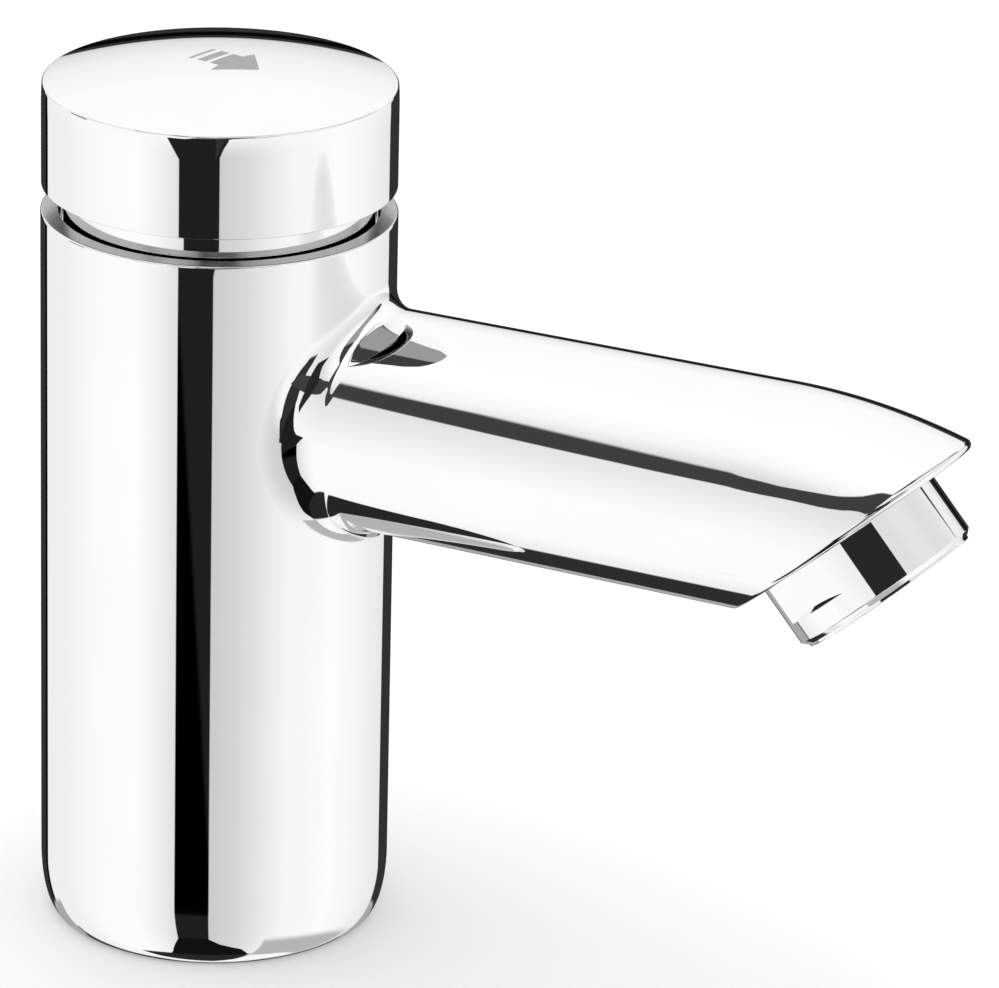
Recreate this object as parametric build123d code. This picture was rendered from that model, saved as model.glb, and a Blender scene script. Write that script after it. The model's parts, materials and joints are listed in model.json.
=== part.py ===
from build123d import *
import os
from math import cos, degrees, hypot, radians, sin, sqrt, tan

# Push timed tap for a deck, in millimetres, +Z up.
# The origin is the centre of the foot on the deck, and the spout points along -Y.
# Pressing the cap lowers the spindle and opens the valve against the water pressure.
# The piston on the spindle then meters the return, so the tap closes by itself.

# Clearances and the overrun that every cut shares
overrun = 1.0
thread_clearance = 0.05
fit_clearance = 0.05
running_clearance = 0.05
seal_clearance = 0.05

# Pillar
pillar_radius = 22.0
pillar_height = 92.9
foot_inset = 2.0
foot_rise = 7.5
rim_width = 2.2
rim_break = 0.25
recess_depth = 5.9
nut_step = 1.8
nut_bore_depth = 7.0
flange_step = 2.0
main_bore_depth = 22.0
lower_step = 2.0
gasket_margin = 1.4
gasket_width = 2.2
gasket_land = 0.9
gasket_thickness = 1.5
plug_bore_depth = 13.0

# Spout
spout_drop = 23.36
spout_flare = 0.3
spout_straight = 76.0
nose_bend_radius = 64.0
spout_fillet = 2.75
cut_reach = 88.5
cut_tilt = 41.2
cut_break = 0.75
outlet_shift = 4.0
outlet_wall = 2.6
outlet_bore_radius = 11.5
outlet_bore_depth = 7.6
outlet_seat_width = 5.0
outlet_throat_depth = 5.6
waterway_radius = 4.5
waterway_setback = 13.5

# Base plug
plug_recess = 0.3
plug_oring_cord = 1.0
plug_oring_height = 10.5
inlet_thread_radius = 4.46
strainer_pocket_radius = 8.0
strainer_pocket_depth = 3.4
stud_thread_radius = 3.4
stud_thread_depth = 8.0
spanner_hole_radius = 1.75
spanner_hole_depth = 3.0

# Inlet strainer
strainer_wall = 0.5
strainer_hat_radius = 5.5
strainer_hat_height = 3.0
strainer_hole_radius = 0.7
strainer_web = 0.4

# Cartridge housing
flange_thickness = 3.0
neck_height = 4.0
neck_wall = 3.5
upper_land_height = 3.5
waist_step = 0.95
waist_height = 16.5
waist_wall = 2.0
lower_land_height = 14.0
land_oring_cord = 0.9
seat_bore_share = 0.594
seat_web = 2.0
seat_ledge = 1.5
window_radius = 2.6
window_count = 6

# Valve seat
seat_thickness = 2.5
seat_hole_share = 0.385
seat_lip_width = 0.8
seat_lip_height = 0.8

# Spindle
spindle_radius = 3.0
spindle_end_radius = 2.0
spindle_head_radius = 2.2
spindle_collar_radius = 4.2
spindle_collar_height = 1.2
spindle_groove_depth = 0.55
spindle_end_stub = 0.6
spindle_head_stub = 0.4

# Seat washer, plunger and nut
washer_thickness = 2.0
washer_inset = 0.4
plunger_share = 0.708
plunger_thickness = 2.0
plunger_rim_height = 1.2
nut_across_flats = 6.0
nut_thickness = 2.2

# Timing piston and its seal, jet and clip
piston_rise = 16.0
piston_gap = 0.3
piston_thickness = 3.0
lip_base = 1.2
lip_height = 3.0
lip_wall = 0.9
lip_inset = 0.35
jet_radius = 1.1
jet_pinhole_radius = 0.3
clip_thickness = 0.6
piston_clip_radius = 5.0
spindle_clip_radius = 4.4
clip_mouth = 2.6

# Cartridge cover
cover_spigot_height = 3.0
cover_flange_height = 3.0
cover_inset = 0.1
cover_oring_cord = 0.75
spindle_seal_cord = 0.85
oring_side_gap = 0.1

# Guide collar and its washer
thrust_thickness = 0.8
thrust_inset = 0.25
collar_neck_gap = 0.5
collar_step_gap = 0.4
collar_cover_gap = 0.4
collar_gap = 0.6
collar_wall = 2.0
collar_rise = 6.5
collar_break = 0.4
collar_slot_width = 3.0
collar_slot_depth = 2.0
collar_slot_count = 4

# Push cap
press_travel = 3.0
cap_spare_gap = 0.4
cap_setback = 0.1
cap_clearance = 0.4
cap_side_height = 12.9
cap_dome_height = 3.0
cap_edge_break = 0.3
cap_inner_depth = 10.1
cap_ledge = 2.1
cap_top_thickness = 2.8

# Cap carrier and its rings
carrier_thickness = 2.4
carrier_inset = 0.1
carrier_hub_radius = 5.5
carrier_hub_length = 4.5
carrier_recess_radius = 5.0
carrier_recess_depth = 1.4
snap_ring_height = 1.0
snap_ring_width = 1.6
snap_ring_bite = 0.6
snap_ring_mouth = 4.0

# Return spring
spring_radius = 9.5
spring_wire = 0.8
spring_turns = 5
spring_end_gap = 0.05

# Aerator
aerator_shoulder = 0.65
aerator_height = 8.7
aerator_lip_height = 0.4
aerator_lip_step = 0.75
aerator_chamfer = 0.6
aerator_flat_depth = 1.15
aerator_flat_height = 4.85
aerator_flat_turn = 16.5
aerator_wall = 1.5
aerator_floor_height = 1.85
aerator_floor_step = 0.7
aerator_washer_thickness = 1.6
aerator_washer_step = 0.5
aerator_insert_gap = 0.1
regulator_wall = 0.9
regulator_head = 2.5
regulator_hole_radius = 0.7
regulator_hole_count = 12
regulator_groove_radius = 5.0
regulator_ring_cord = 0.55
screen_thickness = 1.2
screen_cell_radius = 1.05
screen_web = 0.45
screen_border = 0.7

# Radii that follow from the sizes above
foot_radius = pillar_radius - foot_inset
gasket_outer = foot_radius - gasket_margin
gasket_inner = gasket_outer - gasket_width
plug_bore_radius = gasket_inner - gasket_land
recess_radius = pillar_radius - rim_width
nut_bore_radius = recess_radius - nut_step
main_bore_radius = nut_bore_radius - flange_step
lower_bore_radius = main_bore_radius - lower_step
collar_radius = recess_radius - collar_gap
cap_radius = pillar_radius - cap_setback
cap_bore_radius = collar_radius + cap_clearance
upper_land_radius = main_bore_radius - fit_clearance
lower_land_radius = lower_bore_radius - fit_clearance
waist_radius = lower_land_radius - waist_step
piston_bore_radius = waist_radius - waist_wall
neck_radius = piston_bore_radius + neck_wall
jet_offset = (spindle_radius + piston_bore_radius) / 2
seat_bore_radius = spindle_radius + seat_bore_share * (lower_land_radius - spindle_radius)
seat_hole_radius = spindle_radius + seat_hole_share * (seat_bore_radius - spindle_radius)
plunger_radius = spindle_radius + plunger_share * (seat_bore_radius - spindle_radius)
seat_washer_radius = plunger_radius - washer_inset
plug_radius = plug_bore_radius - thread_clearance
plug_hole_offset = (inlet_thread_radius + plug_radius) / 2
collar_bore_radius = neck_radius + collar_neck_gap
carrier_radius = cap_bore_radius - carrier_inset
snap_ring_outer = cap_bore_radius + snap_ring_bite
snap_ring_inner = snap_ring_outer - snap_ring_width
spout_end_radius = outlet_bore_radius + outlet_wall
spout_root_radius = spout_end_radius - spout_flare
outlet_throat_radius = outlet_bore_radius - outlet_seat_width
aerator_radius = outlet_bore_radius + aerator_shoulder
aerator_flat_distance = aerator_radius - aerator_flat_depth
aerator_bore_radius = outlet_bore_radius - aerator_wall
aerator_mouth_radius = aerator_bore_radius - aerator_floor_step

# Levels of the pillar, counted down from the rim and up from the deck
rim_level = pillar_height
recess_level = rim_level - recess_depth
shoulder_level = recess_level - nut_bore_depth
main_bore_level = shoulder_level - main_bore_depth
plug_top_level = plug_bore_depth
spout_level = rim_level - spout_drop

# Levels of the cartridge
flange_top_level = shoulder_level + flange_thickness
housing_top_level = flange_top_level + neck_height
upper_land_level = shoulder_level - upper_land_height
waist_level = upper_land_level - waist_height
housing_bottom_level = waist_level - lower_land_height
seat_bottom_level = waist_level - seat_thickness
lip_level = seat_bottom_level - seat_lip_height
washer_level = lip_level - washer_thickness
plunger_level = washer_level - plunger_thickness
nut_level = plunger_level - nut_thickness
piston_level = waist_level + piston_rise
lip_seal_level = piston_level + piston_thickness
piston_clip_level = lip_seal_level + lip_base
cover_flange_level = housing_top_level
cover_top_level = cover_flange_level + cover_flange_height
collar_level = flange_top_level + thrust_thickness
waterway_level = upper_land_level - waterway_radius

# Levels of the cap
cap_level = rim_level + press_travel + cap_spare_gap
cap_edge_level = cap_level + cap_side_height
ceiling_level = cap_level + cap_inner_depth
carrier_level = ceiling_level - carrier_thickness
hub_level = carrier_level - carrier_hub_length
spindle_clip_level = ceiling_level - carrier_recess_depth

# Directions of the slanted end of the spout
outlet_direction = Vector(0, -sin(radians(cut_tilt)), -cos(radians(cut_tilt)))
slant_direction = Vector(0, -cos(radians(cut_tilt)), sin(radians(cut_tilt)))
cut_point = Vector(0, -cut_reach, spout_level)
outlet_point = cut_point - slant_direction * outlet_shift
cut_plane = Plane(origin=cut_point, x_dir=(1, 0, 0), z_dir=outlet_direction)
outlet_plane = Plane(origin=outlet_point, x_dir=(1, 0, 0), z_dir=outlet_direction)
spout_plane = Plane(origin=(0, 0, spout_level), x_dir=(1, 0, 0), z_dir=(0, -1, 0))


def turned(outline):
    """Solid of revolution about Z from a closed outline of (radius, height) points."""
    points = [(radius, 0, height) for radius, height in outline]
    return revolve(make_face(Polyline(*points, close=True)), axis=Axis.Z)


def rod(radius, low, high):
    """Round bar about Z between two heights."""
    base = Pos(0, 0, low)
    return base * Cylinder(radius, high - low, align=(Align.CENTER, Align.CENTER, Align.MIN))


def ring(outer, inner, low, high):
    """Flat ring about Z between two heights."""
    return turned([(inner, low), (outer, low), (outer, high), (inner, high)])


def open_ring(outer, inner, low, high, mouth):
    """Retaining ring with a mouth on its +X side."""
    slot = Pos(outer, 0, (low + high) / 2) * Box(outer * 2, mouth, (high - low) * 2)
    return ring(outer, inner, low, high) - slot


def oring(cord, major, height):
    """Rubber ring of round section about Z."""
    return Pos(0, 0, height) * Torus(major, cord)


def outer_groove(land, bore, cord, height):
    """Groove in a land for a rubber ring that seals in a bore."""
    floor = bore - 2 * seal_clearance - 2 * cord
    half = cord + oring_side_gap
    return ring(land + overrun, floor, height - half, height + half)


def bore_oring(bore, cord, height):
    """Rubber ring that seals outwards in a bore."""
    return oring(cord, bore - seal_clearance - cord, height)


def spout_cone():
    """Tapered round bar from the pillar's axis to the start of the nose."""
    align = (Align.CENTER, Align.CENTER, Align.MIN)
    return spout_plane * Cone(spout_root_radius, spout_end_radius, spout_straight, align=align)


def spout_nose():
    """Last stretch of the spout, bent gently down on one large arc."""
    section = Plane(origin=(0, -spout_straight, spout_level), x_dir=(1, 0, 0), z_dir=(0, -1, 0))
    bend_axis = Axis((0, -spout_straight, spout_level - nose_bend_radius), (1, 0, 0))
    length = cut_reach + spout_end_radius / tan(radians(cut_tilt)) - spout_straight + overrun
    bend_angle = degrees(length / nose_bend_radius)
    return revolve(section * Circle(spout_end_radius), axis=bend_axis, revolution_arc=bend_angle)


def beyond_cut():
    """Block on the outer side of the slanted end."""
    side = pillar_height + cut_reach
    return cut_plane * Box(side, side, side, align=(Align.CENTER, Align.CENTER, Align.MIN))


def pillar_blank():
    """Solid pillar: foot rounded as part of an ellipse, straight side, flat rim with broken edges."""
    foot = EllipticalCenterArc((foot_radius, foot_rise), foot_inset, foot_rise, start_angle=-90, arc_size=90)
    side = Line((pillar_radius, foot_rise), (pillar_radius, rim_level - rim_break))
    edge = Line((pillar_radius, rim_level - rim_break), (pillar_radius - rim_break, rim_level))
    top = Line((pillar_radius - rim_break, rim_level), (0, rim_level))
    axis = Line((0, rim_level), (0, 0))
    bottom = Line((0, 0), (foot_radius, 0))
    outline = Plane.XZ * make_face(Wire([foot, side, edge, top, axis, bottom]))
    return revolve(outline, axis=Axis.Z)


def pillar_bores():
    """Everything that is bored out of the pillar from its rim and its foot."""
    bores = rod(recess_radius, recess_level, rim_level + overrun)
    bores += rod(nut_bore_radius, shoulder_level, rim_level)
    bores += rod(main_bore_radius, main_bore_level, rim_level)
    bores += rod(lower_bore_radius, plug_top_level - overrun, rim_level)
    bores += rod(plug_bore_radius, -overrun, plug_top_level)
    bores += ring(gasket_outer, gasket_inner, -overrun, gasket_thickness)
    return bores


def spout_bores():
    """Waterway along the spout and the stepped bore behind the aerator."""
    base = (Align.CENTER, Align.CENTER, Align.MAX)
    start = (Align.CENTER, Align.CENTER, Align.MIN)
    waterway_plane = Plane(origin=(0, 0, waterway_level), x_dir=(1, 0, 0), z_dir=(0, -1, 0))
    bores = waterway_plane * Cylinder(waterway_radius, cut_reach - waterway_setback, align=start)
    thread = Cylinder(outlet_bore_radius, outlet_bore_depth + overrun, align=base)
    bores += outlet_plane * Pos(0, 0, overrun) * thread
    throat = Cylinder(outlet_throat_radius, outlet_bore_depth + outlet_throat_depth, align=base)
    bores += outlet_plane * throat
    return bores


def spout_blank():
    """Spout cut off at its slant, with the edge of the cut rounded."""
    blank = spout_cone() + spout_nose() - beyond_cut()
    slant = blank.faces().sort_by(Axis(cut_point, outlet_direction))[-1]
    return fillet(slant.edges(), cut_break)


def tap_body():
    """Pillar and spout in one casting, with a fillet round the joint and all the bores."""
    pillar = pillar_blank()
    spout = spout_blank()
    joined = pillar + spout
    joined = fillet(new_edges(pillar, spout, combined=joined), spout_fillet)
    return joined - pillar_bores() - spout_bores()


def base_plug():
    """Brass plug in the foot with the inlet thread, the stud thread and two spanner holes."""
    plug = rod(plug_radius, plug_recess, plug_top_level)
    plug -= rod(inlet_thread_radius, 0, plug_top_level)
    pocket_level = plug_top_level - strainer_pocket_depth
    plug -= rod(strainer_pocket_radius, pocket_level, plug_top_level + overrun)
    plug -= outer_groove(plug_radius, plug_bore_radius, plug_oring_cord, plug_oring_height)
    plug -= Pos(0, plug_hole_offset, 0) * rod(stud_thread_radius, 0, plug_recess + stud_thread_depth)
    for side in (-1, 1):
        hole = rod(spanner_hole_radius, 0, plug_recess + spanner_hole_depth)
        plug -= Pos(side * plug_hole_offset, 0, 0) * hole
    return plug


def base_plug_oring():
    """Rubber ring round the base plug."""
    return bore_oring(plug_bore_radius, plug_oring_cord, plug_oring_height)


def base_gasket():
    """Rubber ring in the foot's groove, flush with the deck."""
    outer = gasket_outer - fit_clearance
    inner = gasket_inner + fit_clearance
    return ring(outer, inner, 0, gasket_thickness)


def honeycomb(cell_radius, web, reach):
    """Places of the hexagonal cells of a screen whose centres lie within a reach."""
    pitch = cell_radius * sqrt(3) / 2 + web / 2
    count = 2 * int(reach / pitch) + 3
    places = [place.position for place in HexLocations(pitch, count, count)]
    centre = min(places, key=lambda place: hypot(place.X, place.Y))
    shifted = [place - centre for place in places]
    return [place for place in shifted if hypot(place.X, place.Y) < reach]


def perforated(disc, cell_radius, web, reach, low, high):
    """Disc with honeycomb cells cut right through it."""
    depth = high - low + 2 * overrun
    cells = [
        extrude(Pos(place.X, place.Y, low - overrun) * RegularPolygon(cell_radius, 6), amount=depth)
        for place in honeycomb(cell_radius, web, reach)
    ]
    return disc - cells


def inlet_strainer():
    """Stainless hat strainer that stands in the pocket over the inlet."""
    low = plug_top_level - strainer_pocket_depth
    top = low + strainer_hat_height
    brim = strainer_pocket_radius - fit_clearance
    inner = strainer_hat_radius - strainer_wall
    hat = turned([
        (inner, low),
        (brim, low),
        (brim, low + strainer_wall),
        (strainer_hat_radius, low + strainer_wall),
        (strainer_hat_radius, top),
        (0, top),
        (0, top - strainer_wall),
        (inner, top - strainer_wall),
    ])
    reach = inner - strainer_hole_radius
    return perforated(hat, strainer_hole_radius, strainer_web, reach, top - strainer_wall, top)


def cartridge_housing():
    """Brass housing: clamped flange, two sealing lands, waist with windows and two bores."""
    flange_radius = nut_bore_radius - fit_clearance
    housing = turned([
        (0, housing_bottom_level),
        (lower_land_radius, housing_bottom_level),
        (lower_land_radius, waist_level),
        (waist_radius, waist_level),
        (waist_radius, upper_land_level),
        (upper_land_radius, upper_land_level),
        (upper_land_radius, shoulder_level),
        (flange_radius, shoulder_level),
        (flange_radius, flange_top_level),
        (neck_radius, flange_top_level),
        (neck_radius, housing_top_level),
        (0, housing_top_level),
    ])
    housing -= rod(seat_bore_radius, housing_bottom_level - overrun, waist_level)
    housing -= rod(seat_bore_radius - seat_ledge, waist_level - overrun, housing_top_level)
    housing -= rod(piston_bore_radius, waist_level + seat_web, housing_top_level + overrun)
    upper = (shoulder_level + upper_land_level) / 2
    lower = (waist_level + housing_bottom_level) / 2
    housing -= outer_groove(upper_land_radius, main_bore_radius, land_oring_cord, upper)
    housing -= outer_groove(lower_land_radius, lower_bore_radius, land_oring_cord, lower)
    window_level = (waist_level + seat_web + piston_level - spindle_collar_height - press_travel) / 2
    start = (Align.CENTER, Align.CENTER, Align.MIN)
    for turn in range(window_count):
        drill = Rot(0, 90, 0) * Cylinder(window_radius, waist_radius + overrun, align=start)
        housing -= Rot(0, 0, turn * 360 / window_count) * Pos(0, 0, window_level) * drill
    return housing


def housing_oring_upper():
    """Rubber ring above the windows of the housing."""
    height = (shoulder_level + upper_land_level) / 2
    return bore_oring(main_bore_radius, land_oring_cord, height)


def housing_oring_lower():
    """Rubber ring below the windows of the housing."""
    height = (waist_level + housing_bottom_level) / 2
    return bore_oring(lower_bore_radius, land_oring_cord, height)


def valve_seat():
    """Seat ring with a raised lip on its underside."""
    outer = seat_bore_radius - fit_clearance
    return turned([
        (seat_hole_radius, lip_level),
        (seat_hole_radius + seat_lip_width, lip_level),
        (seat_hole_radius + seat_lip_width, seat_bottom_level),
        (outer, seat_bottom_level),
        (outer, waist_level),
        (seat_hole_radius, waist_level),
    ])


def spindle():
    """Stainless rod: threaded lower end, collar under the piston, two clip grooves, thinner head."""
    collar_bottom = piston_level - spindle_collar_height
    piston_groove = spindle_radius - spindle_groove_depth
    head_groove = spindle_head_radius - spindle_groove_depth
    head_top = spindle_clip_level + clip_thickness + spindle_head_stub
    return turned([
        (0, nut_level - spindle_end_stub),
        (spindle_end_radius, nut_level - spindle_end_stub),
        (spindle_end_radius, lip_level),
        (spindle_radius, lip_level),
        (spindle_radius, collar_bottom),
        (spindle_collar_radius, collar_bottom),
        (spindle_collar_radius, piston_level),
        (spindle_radius, piston_level),
        (spindle_radius, piston_clip_level),
        (piston_groove, piston_clip_level),
        (piston_groove, piston_clip_level + clip_thickness),
        (spindle_radius, piston_clip_level + clip_thickness),
        (spindle_radius, hub_level),
        (spindle_head_radius, hub_level),
        (spindle_head_radius, spindle_clip_level),
        (head_groove, spindle_clip_level),
        (head_groove, spindle_clip_level + clip_thickness),
        (spindle_head_radius, spindle_clip_level + clip_thickness),
        (spindle_head_radius, head_top),
        (0, head_top),
    ])


def seat_washer():
    """Rubber washer that closes upwards against the lip."""
    inner = spindle_end_radius + fit_clearance
    outer = seat_washer_radius - fit_clearance
    return ring(outer, inner, washer_level, lip_level)


def valve_plunger():
    """Brass cup that backs the washer and keeps its rim from spreading."""
    inner = spindle_end_radius + fit_clearance
    rim_top = washer_level + plunger_rim_height
    return turned([
        (inner, plunger_level),
        (plunger_radius, plunger_level),
        (plunger_radius, rim_top),
        (seat_washer_radius, rim_top),
        (seat_washer_radius, washer_level),
        (inner, washer_level),
    ])


def plunger_nut():
    """Hexagon nut on the spindle's lower end."""
    hexagon = RegularPolygon(nut_across_flats / 2, 6, major_radius=False)
    nut = extrude(Pos(0, 0, nut_level) * hexagon, amount=nut_thickness)
    return nut - rod(spindle_end_radius + thread_clearance, nut_level - overrun, plunger_level)


def jet_hole(low, high, radius):
    """Round bar on the jet's axis, beside the spindle."""
    return Pos(jet_offset, 0, 0) * rod(radius, low, high)


def timing_piston():
    """Plastic piston on the spindle's collar."""
    outer = piston_bore_radius - piston_gap
    inner = spindle_radius + fit_clearance
    disc = ring(outer, inner, piston_level, lip_seal_level)
    return disc - jet_hole(piston_level - overrun, lip_seal_level + overrun, jet_radius + fit_clearance)


def lip_seal():
    """Cup seal whose lip leans out against the bore."""
    inner = spindle_radius + fit_clearance
    lip_outer = piston_bore_radius - seal_clearance
    heel = lip_outer - lip_inset
    top = lip_seal_level + lip_height
    cup = turned([
        (inner, lip_seal_level),
        (heel, lip_seal_level),
        (lip_outer, top),
        (lip_outer - lip_wall, top),
        (heel - lip_wall, piston_clip_level),
        (inner, piston_clip_level),
    ])
    return cup - jet_hole(lip_seal_level - overrun, piston_clip_level + overrun, jet_radius + fit_clearance)


def timing_jet():
    """Brass jet through the piston and the seal, with the pinhole that sets the time."""
    jet = jet_hole(piston_level, piston_clip_level, jet_radius)
    return jet - jet_hole(piston_level - overrun, piston_clip_level + overrun, jet_pinhole_radius)


def piston_clip():
    """Retaining ring in the spindle's groove over the lip seal."""
    inner = spindle_radius - spindle_groove_depth + fit_clearance
    high = piston_clip_level + clip_thickness
    clip = open_ring(piston_clip_radius, inner, piston_clip_level, high, clip_mouth)
    return Rot(0, 0, 90) * clip


def cartridge_cover():
    """Brass cover with a spigot in the piston bore and the spindle's guide bore."""
    spigot_radius = piston_bore_radius - fit_clearance
    flange_radius = neck_radius - cover_inset
    spigot_level = cover_flange_level - cover_spigot_height
    bore = spindle_radius + running_clearance
    cover = turned([
        (bore, spigot_level),
        (spigot_radius, spigot_level),
        (spigot_radius, cover_flange_level),
        (flange_radius, cover_flange_level),
        (flange_radius, cover_top_level),
        (bore, cover_top_level),
    ])
    groove_level = (spigot_level + cover_flange_level) / 2
    cover -= outer_groove(spigot_radius, piston_bore_radius, cover_oring_cord, groove_level)
    half = spindle_seal_cord + oring_side_gap
    middle = (cover_flange_level + cover_top_level) / 2
    floor = bore + 2 * spindle_seal_cord + seal_clearance
    return cover - ring(floor, spindle_radius, middle - half, middle + half)


def cover_oring():
    """Rubber ring round the cover's spigot."""
    height = cover_flange_level - cover_spigot_height / 2
    return bore_oring(piston_bore_radius, cover_oring_cord, height)


def spindle_seal():
    """Rubber ring in the cover that wipes the spindle."""
    major = spindle_radius + running_clearance + spindle_seal_cord
    return oring(spindle_seal_cord, major, (cover_flange_level + cover_top_level) / 2)


def thrust_washer():
    """Plastic ring that lets the collar turn on the flange while it is tightened."""
    outer = nut_bore_radius - thrust_inset
    inner = neck_radius + thrust_inset
    return ring(outer, inner, flange_top_level, collar_level)


def guide_collar():
    """Chromed nut over the cartridge whose sleeve rises into the cap."""
    top = rim_level + collar_rise
    thread_radius = nut_bore_radius - thread_clearance
    step_level = recess_level + collar_step_gap
    inner_level = cover_top_level + collar_cover_gap
    sleeve_bore = collar_radius - collar_wall
    collar = turned([
        (collar_bore_radius, collar_level),
        (thread_radius, collar_level),
        (thread_radius, step_level),
        (collar_radius, step_level),
        (collar_radius, top - collar_break),
        (collar_radius - collar_break, top),
        (sleeve_bore, top),
        (sleeve_bore, inner_level),
        (collar_bore_radius, inner_level),
    ])
    slot = Box(collar_slot_width, collar_radius * 3, collar_slot_depth * 2)
    for turn in range(collar_slot_count // 2):
        collar -= Rot(0, 0, turn * 360 / collar_slot_count) * Pos(0, 0, top) * slot
    return collar


def push_cap():
    """Domed press cap: shell with a ledge for the carrier and a groove for the snap ring."""
    dome_radius = (cap_radius ** 2 + cap_dome_height ** 2) / (2 * cap_dome_height)
    top = cap_edge_level + cap_dome_height
    ceiling_top = top - cap_top_thickness
    ceiling_radius = dome_radius - cap_top_thickness
    ledge_radius = cap_bore_radius - cap_ledge
    centre = top - dome_radius
    ledge_top = centre + sqrt(ceiling_radius ** 2 - ledge_radius ** 2)
    edge_radius = cap_radius - cap_edge_break
    edge_top = centre + sqrt(dome_radius ** 2 - edge_radius ** 2)
    dome = RadiusArc((edge_radius, edge_top), (0, top), -dome_radius)
    ceiling = RadiusArc((ledge_radius, ledge_top), (0, ceiling_top), -ceiling_radius)
    low_edge = edge_top - cap_edge_break
    outline = Wire([
        Line((cap_bore_radius, cap_level), (cap_radius, cap_level)),
        Line((cap_radius, cap_level), (cap_radius, low_edge)),
        Line((cap_radius, low_edge), (edge_radius, edge_top)),
        dome,
        Line((0, top), (0, ceiling_top)),
        ceiling,
        Line((ledge_radius, ledge_top), (ledge_radius, ceiling_level)),
        Line((ledge_radius, ceiling_level), (cap_bore_radius, ceiling_level)),
        Line((cap_bore_radius, ceiling_level), (cap_bore_radius, cap_level)),
    ])
    cap = revolve(Plane.XZ * make_face(outline), axis=Axis.Z)
    groove_outer = snap_ring_outer + fit_clearance
    groove_low = carrier_level - snap_ring_height - fit_clearance
    return cap - ring(groove_outer, collar_radius, groove_low, carrier_level)


def cap_carrier():
    """Moulded disc with a hub that ties the cap to the spindle."""
    bore = spindle_head_radius + fit_clearance
    return turned([
        (bore, hub_level),
        (carrier_hub_radius, hub_level),
        (carrier_hub_radius, carrier_level),
        (carrier_radius, carrier_level),
        (carrier_radius, ceiling_level),
        (carrier_recess_radius, ceiling_level),
        (carrier_recess_radius, spindle_clip_level),
        (bore, spindle_clip_level),
    ])


def cap_snap_ring():
    """Retaining ring in the cap's groove under the carrier."""
    low = carrier_level - snap_ring_height
    return open_ring(snap_ring_outer, snap_ring_inner, low, carrier_level, snap_ring_mouth)


def spindle_clip():
    """Retaining ring in the groove of the spindle's head."""
    inner = spindle_head_radius - spindle_groove_depth + fit_clearance
    high = spindle_clip_level + clip_thickness
    return open_ring(spindle_clip_radius, inner, spindle_clip_level, high, clip_mouth)


def return_spring():
    """Round-wire compression spring between the cover and the carrier."""
    low = cover_top_level + spring_wire + spring_end_gap
    high = carrier_level - spring_wire - spring_end_gap
    path = Helix((high - low) / spring_turns, high - low, spring_radius, center=(0, 0, low))
    section = Plane(origin=path @ 0, z_dir=path % 0) * Circle(spring_wire)
    return sweep(section, path=path, is_frenet=True)


def aerator_housing():
    """Chromed sleeve: male thread in the spout, flange with two wrench flats, small lip at the mouth."""
    sleeve_radius = outlet_bore_radius - thread_clearance
    sleeve_top = aerator_washer_thickness - outlet_bore_depth
    flange_end = aerator_height - aerator_lip_height
    lip_radius = aerator_radius - aerator_lip_step
    floor = aerator_height - aerator_floor_height
    housing = turned([
        (aerator_bore_radius, sleeve_top),
        (sleeve_radius, sleeve_top),
        (sleeve_radius, 0),
        (aerator_radius, 0),
        (aerator_radius, flange_end - aerator_chamfer),
        (aerator_radius - aerator_chamfer, flange_end),
        (lip_radius, flange_end),
        (lip_radius, aerator_height),
        (aerator_mouth_radius, aerator_height),
        (aerator_mouth_radius, floor),
        (aerator_bore_radius, floor),
    ])
    depth = aerator_radius - aerator_flat_distance + overrun
    for side in (-1, 1):
        middle = side * (aerator_flat_distance + depth / 2)
        flat = Box(depth, aerator_radius * 2, aerator_flat_height + overrun)
        flat_middle = (aerator_flat_height - overrun) / 2
        housing -= Rot(0, 0, aerator_flat_turn) * Pos(middle, 0, flat_middle) * flat
    return outlet_plane * housing


def aerator_washer():
    """Flat rubber washer between the spout's seat and the aerator."""
    outer = outlet_bore_radius - aerator_insert_gap
    low = -outlet_bore_depth
    inner = outlet_throat_radius + aerator_washer_step
    return outlet_plane * ring(outer, inner, low, low + aerator_washer_thickness)


def jet_regulator():
    """Plastic insert: pierced head with a ring groove, and a skirt that stands on the screen."""
    outer = aerator_bore_radius - aerator_insert_gap
    inner = outer - regulator_wall
    top = aerator_washer_thickness - outlet_bore_depth
    head = top + regulator_head
    foot = aerator_height - aerator_floor_height - screen_thickness
    insert = turned([
        (0, top),
        (outer, top),
        (outer, foot),
        (inner, foot),
        (inner, head),
        (0, head),
    ])
    half = regulator_ring_cord + fit_clearance
    groove = ring(
        regulator_groove_radius + half, regulator_groove_radius - half, top - overrun, top + 2 * half
    )
    insert -= groove
    hole_offset = (regulator_groove_radius + half + outer) / 2
    for turn in range(regulator_hole_count):
        hole = Pos(hole_offset, 0, 0) * rod(regulator_hole_radius, top - overrun, head + overrun)
        insert -= Rot(0, 0, turn * 360 / regulator_hole_count) * hole
    return outlet_plane * insert


def regulator_ring():
    """Rubber ring that narrows the jets as the pressure rises."""
    top = aerator_washer_thickness - outlet_bore_depth
    height = top + regulator_ring_cord + 2 * fit_clearance
    return outlet_plane * oring(regulator_ring_cord, regulator_groove_radius, height)


def outlet_screen():
    """Honeycomb screen that straightens the water at the mouth."""
    outer = aerator_bore_radius - aerator_insert_gap
    high = aerator_height - aerator_floor_height
    low = high - screen_thickness
    disc = rod(outer, low, high)
    reach = aerator_mouth_radius - screen_border - screen_cell_radius
    return outlet_plane * perforated(disc, screen_cell_radius, screen_web, reach, low, high)


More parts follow.
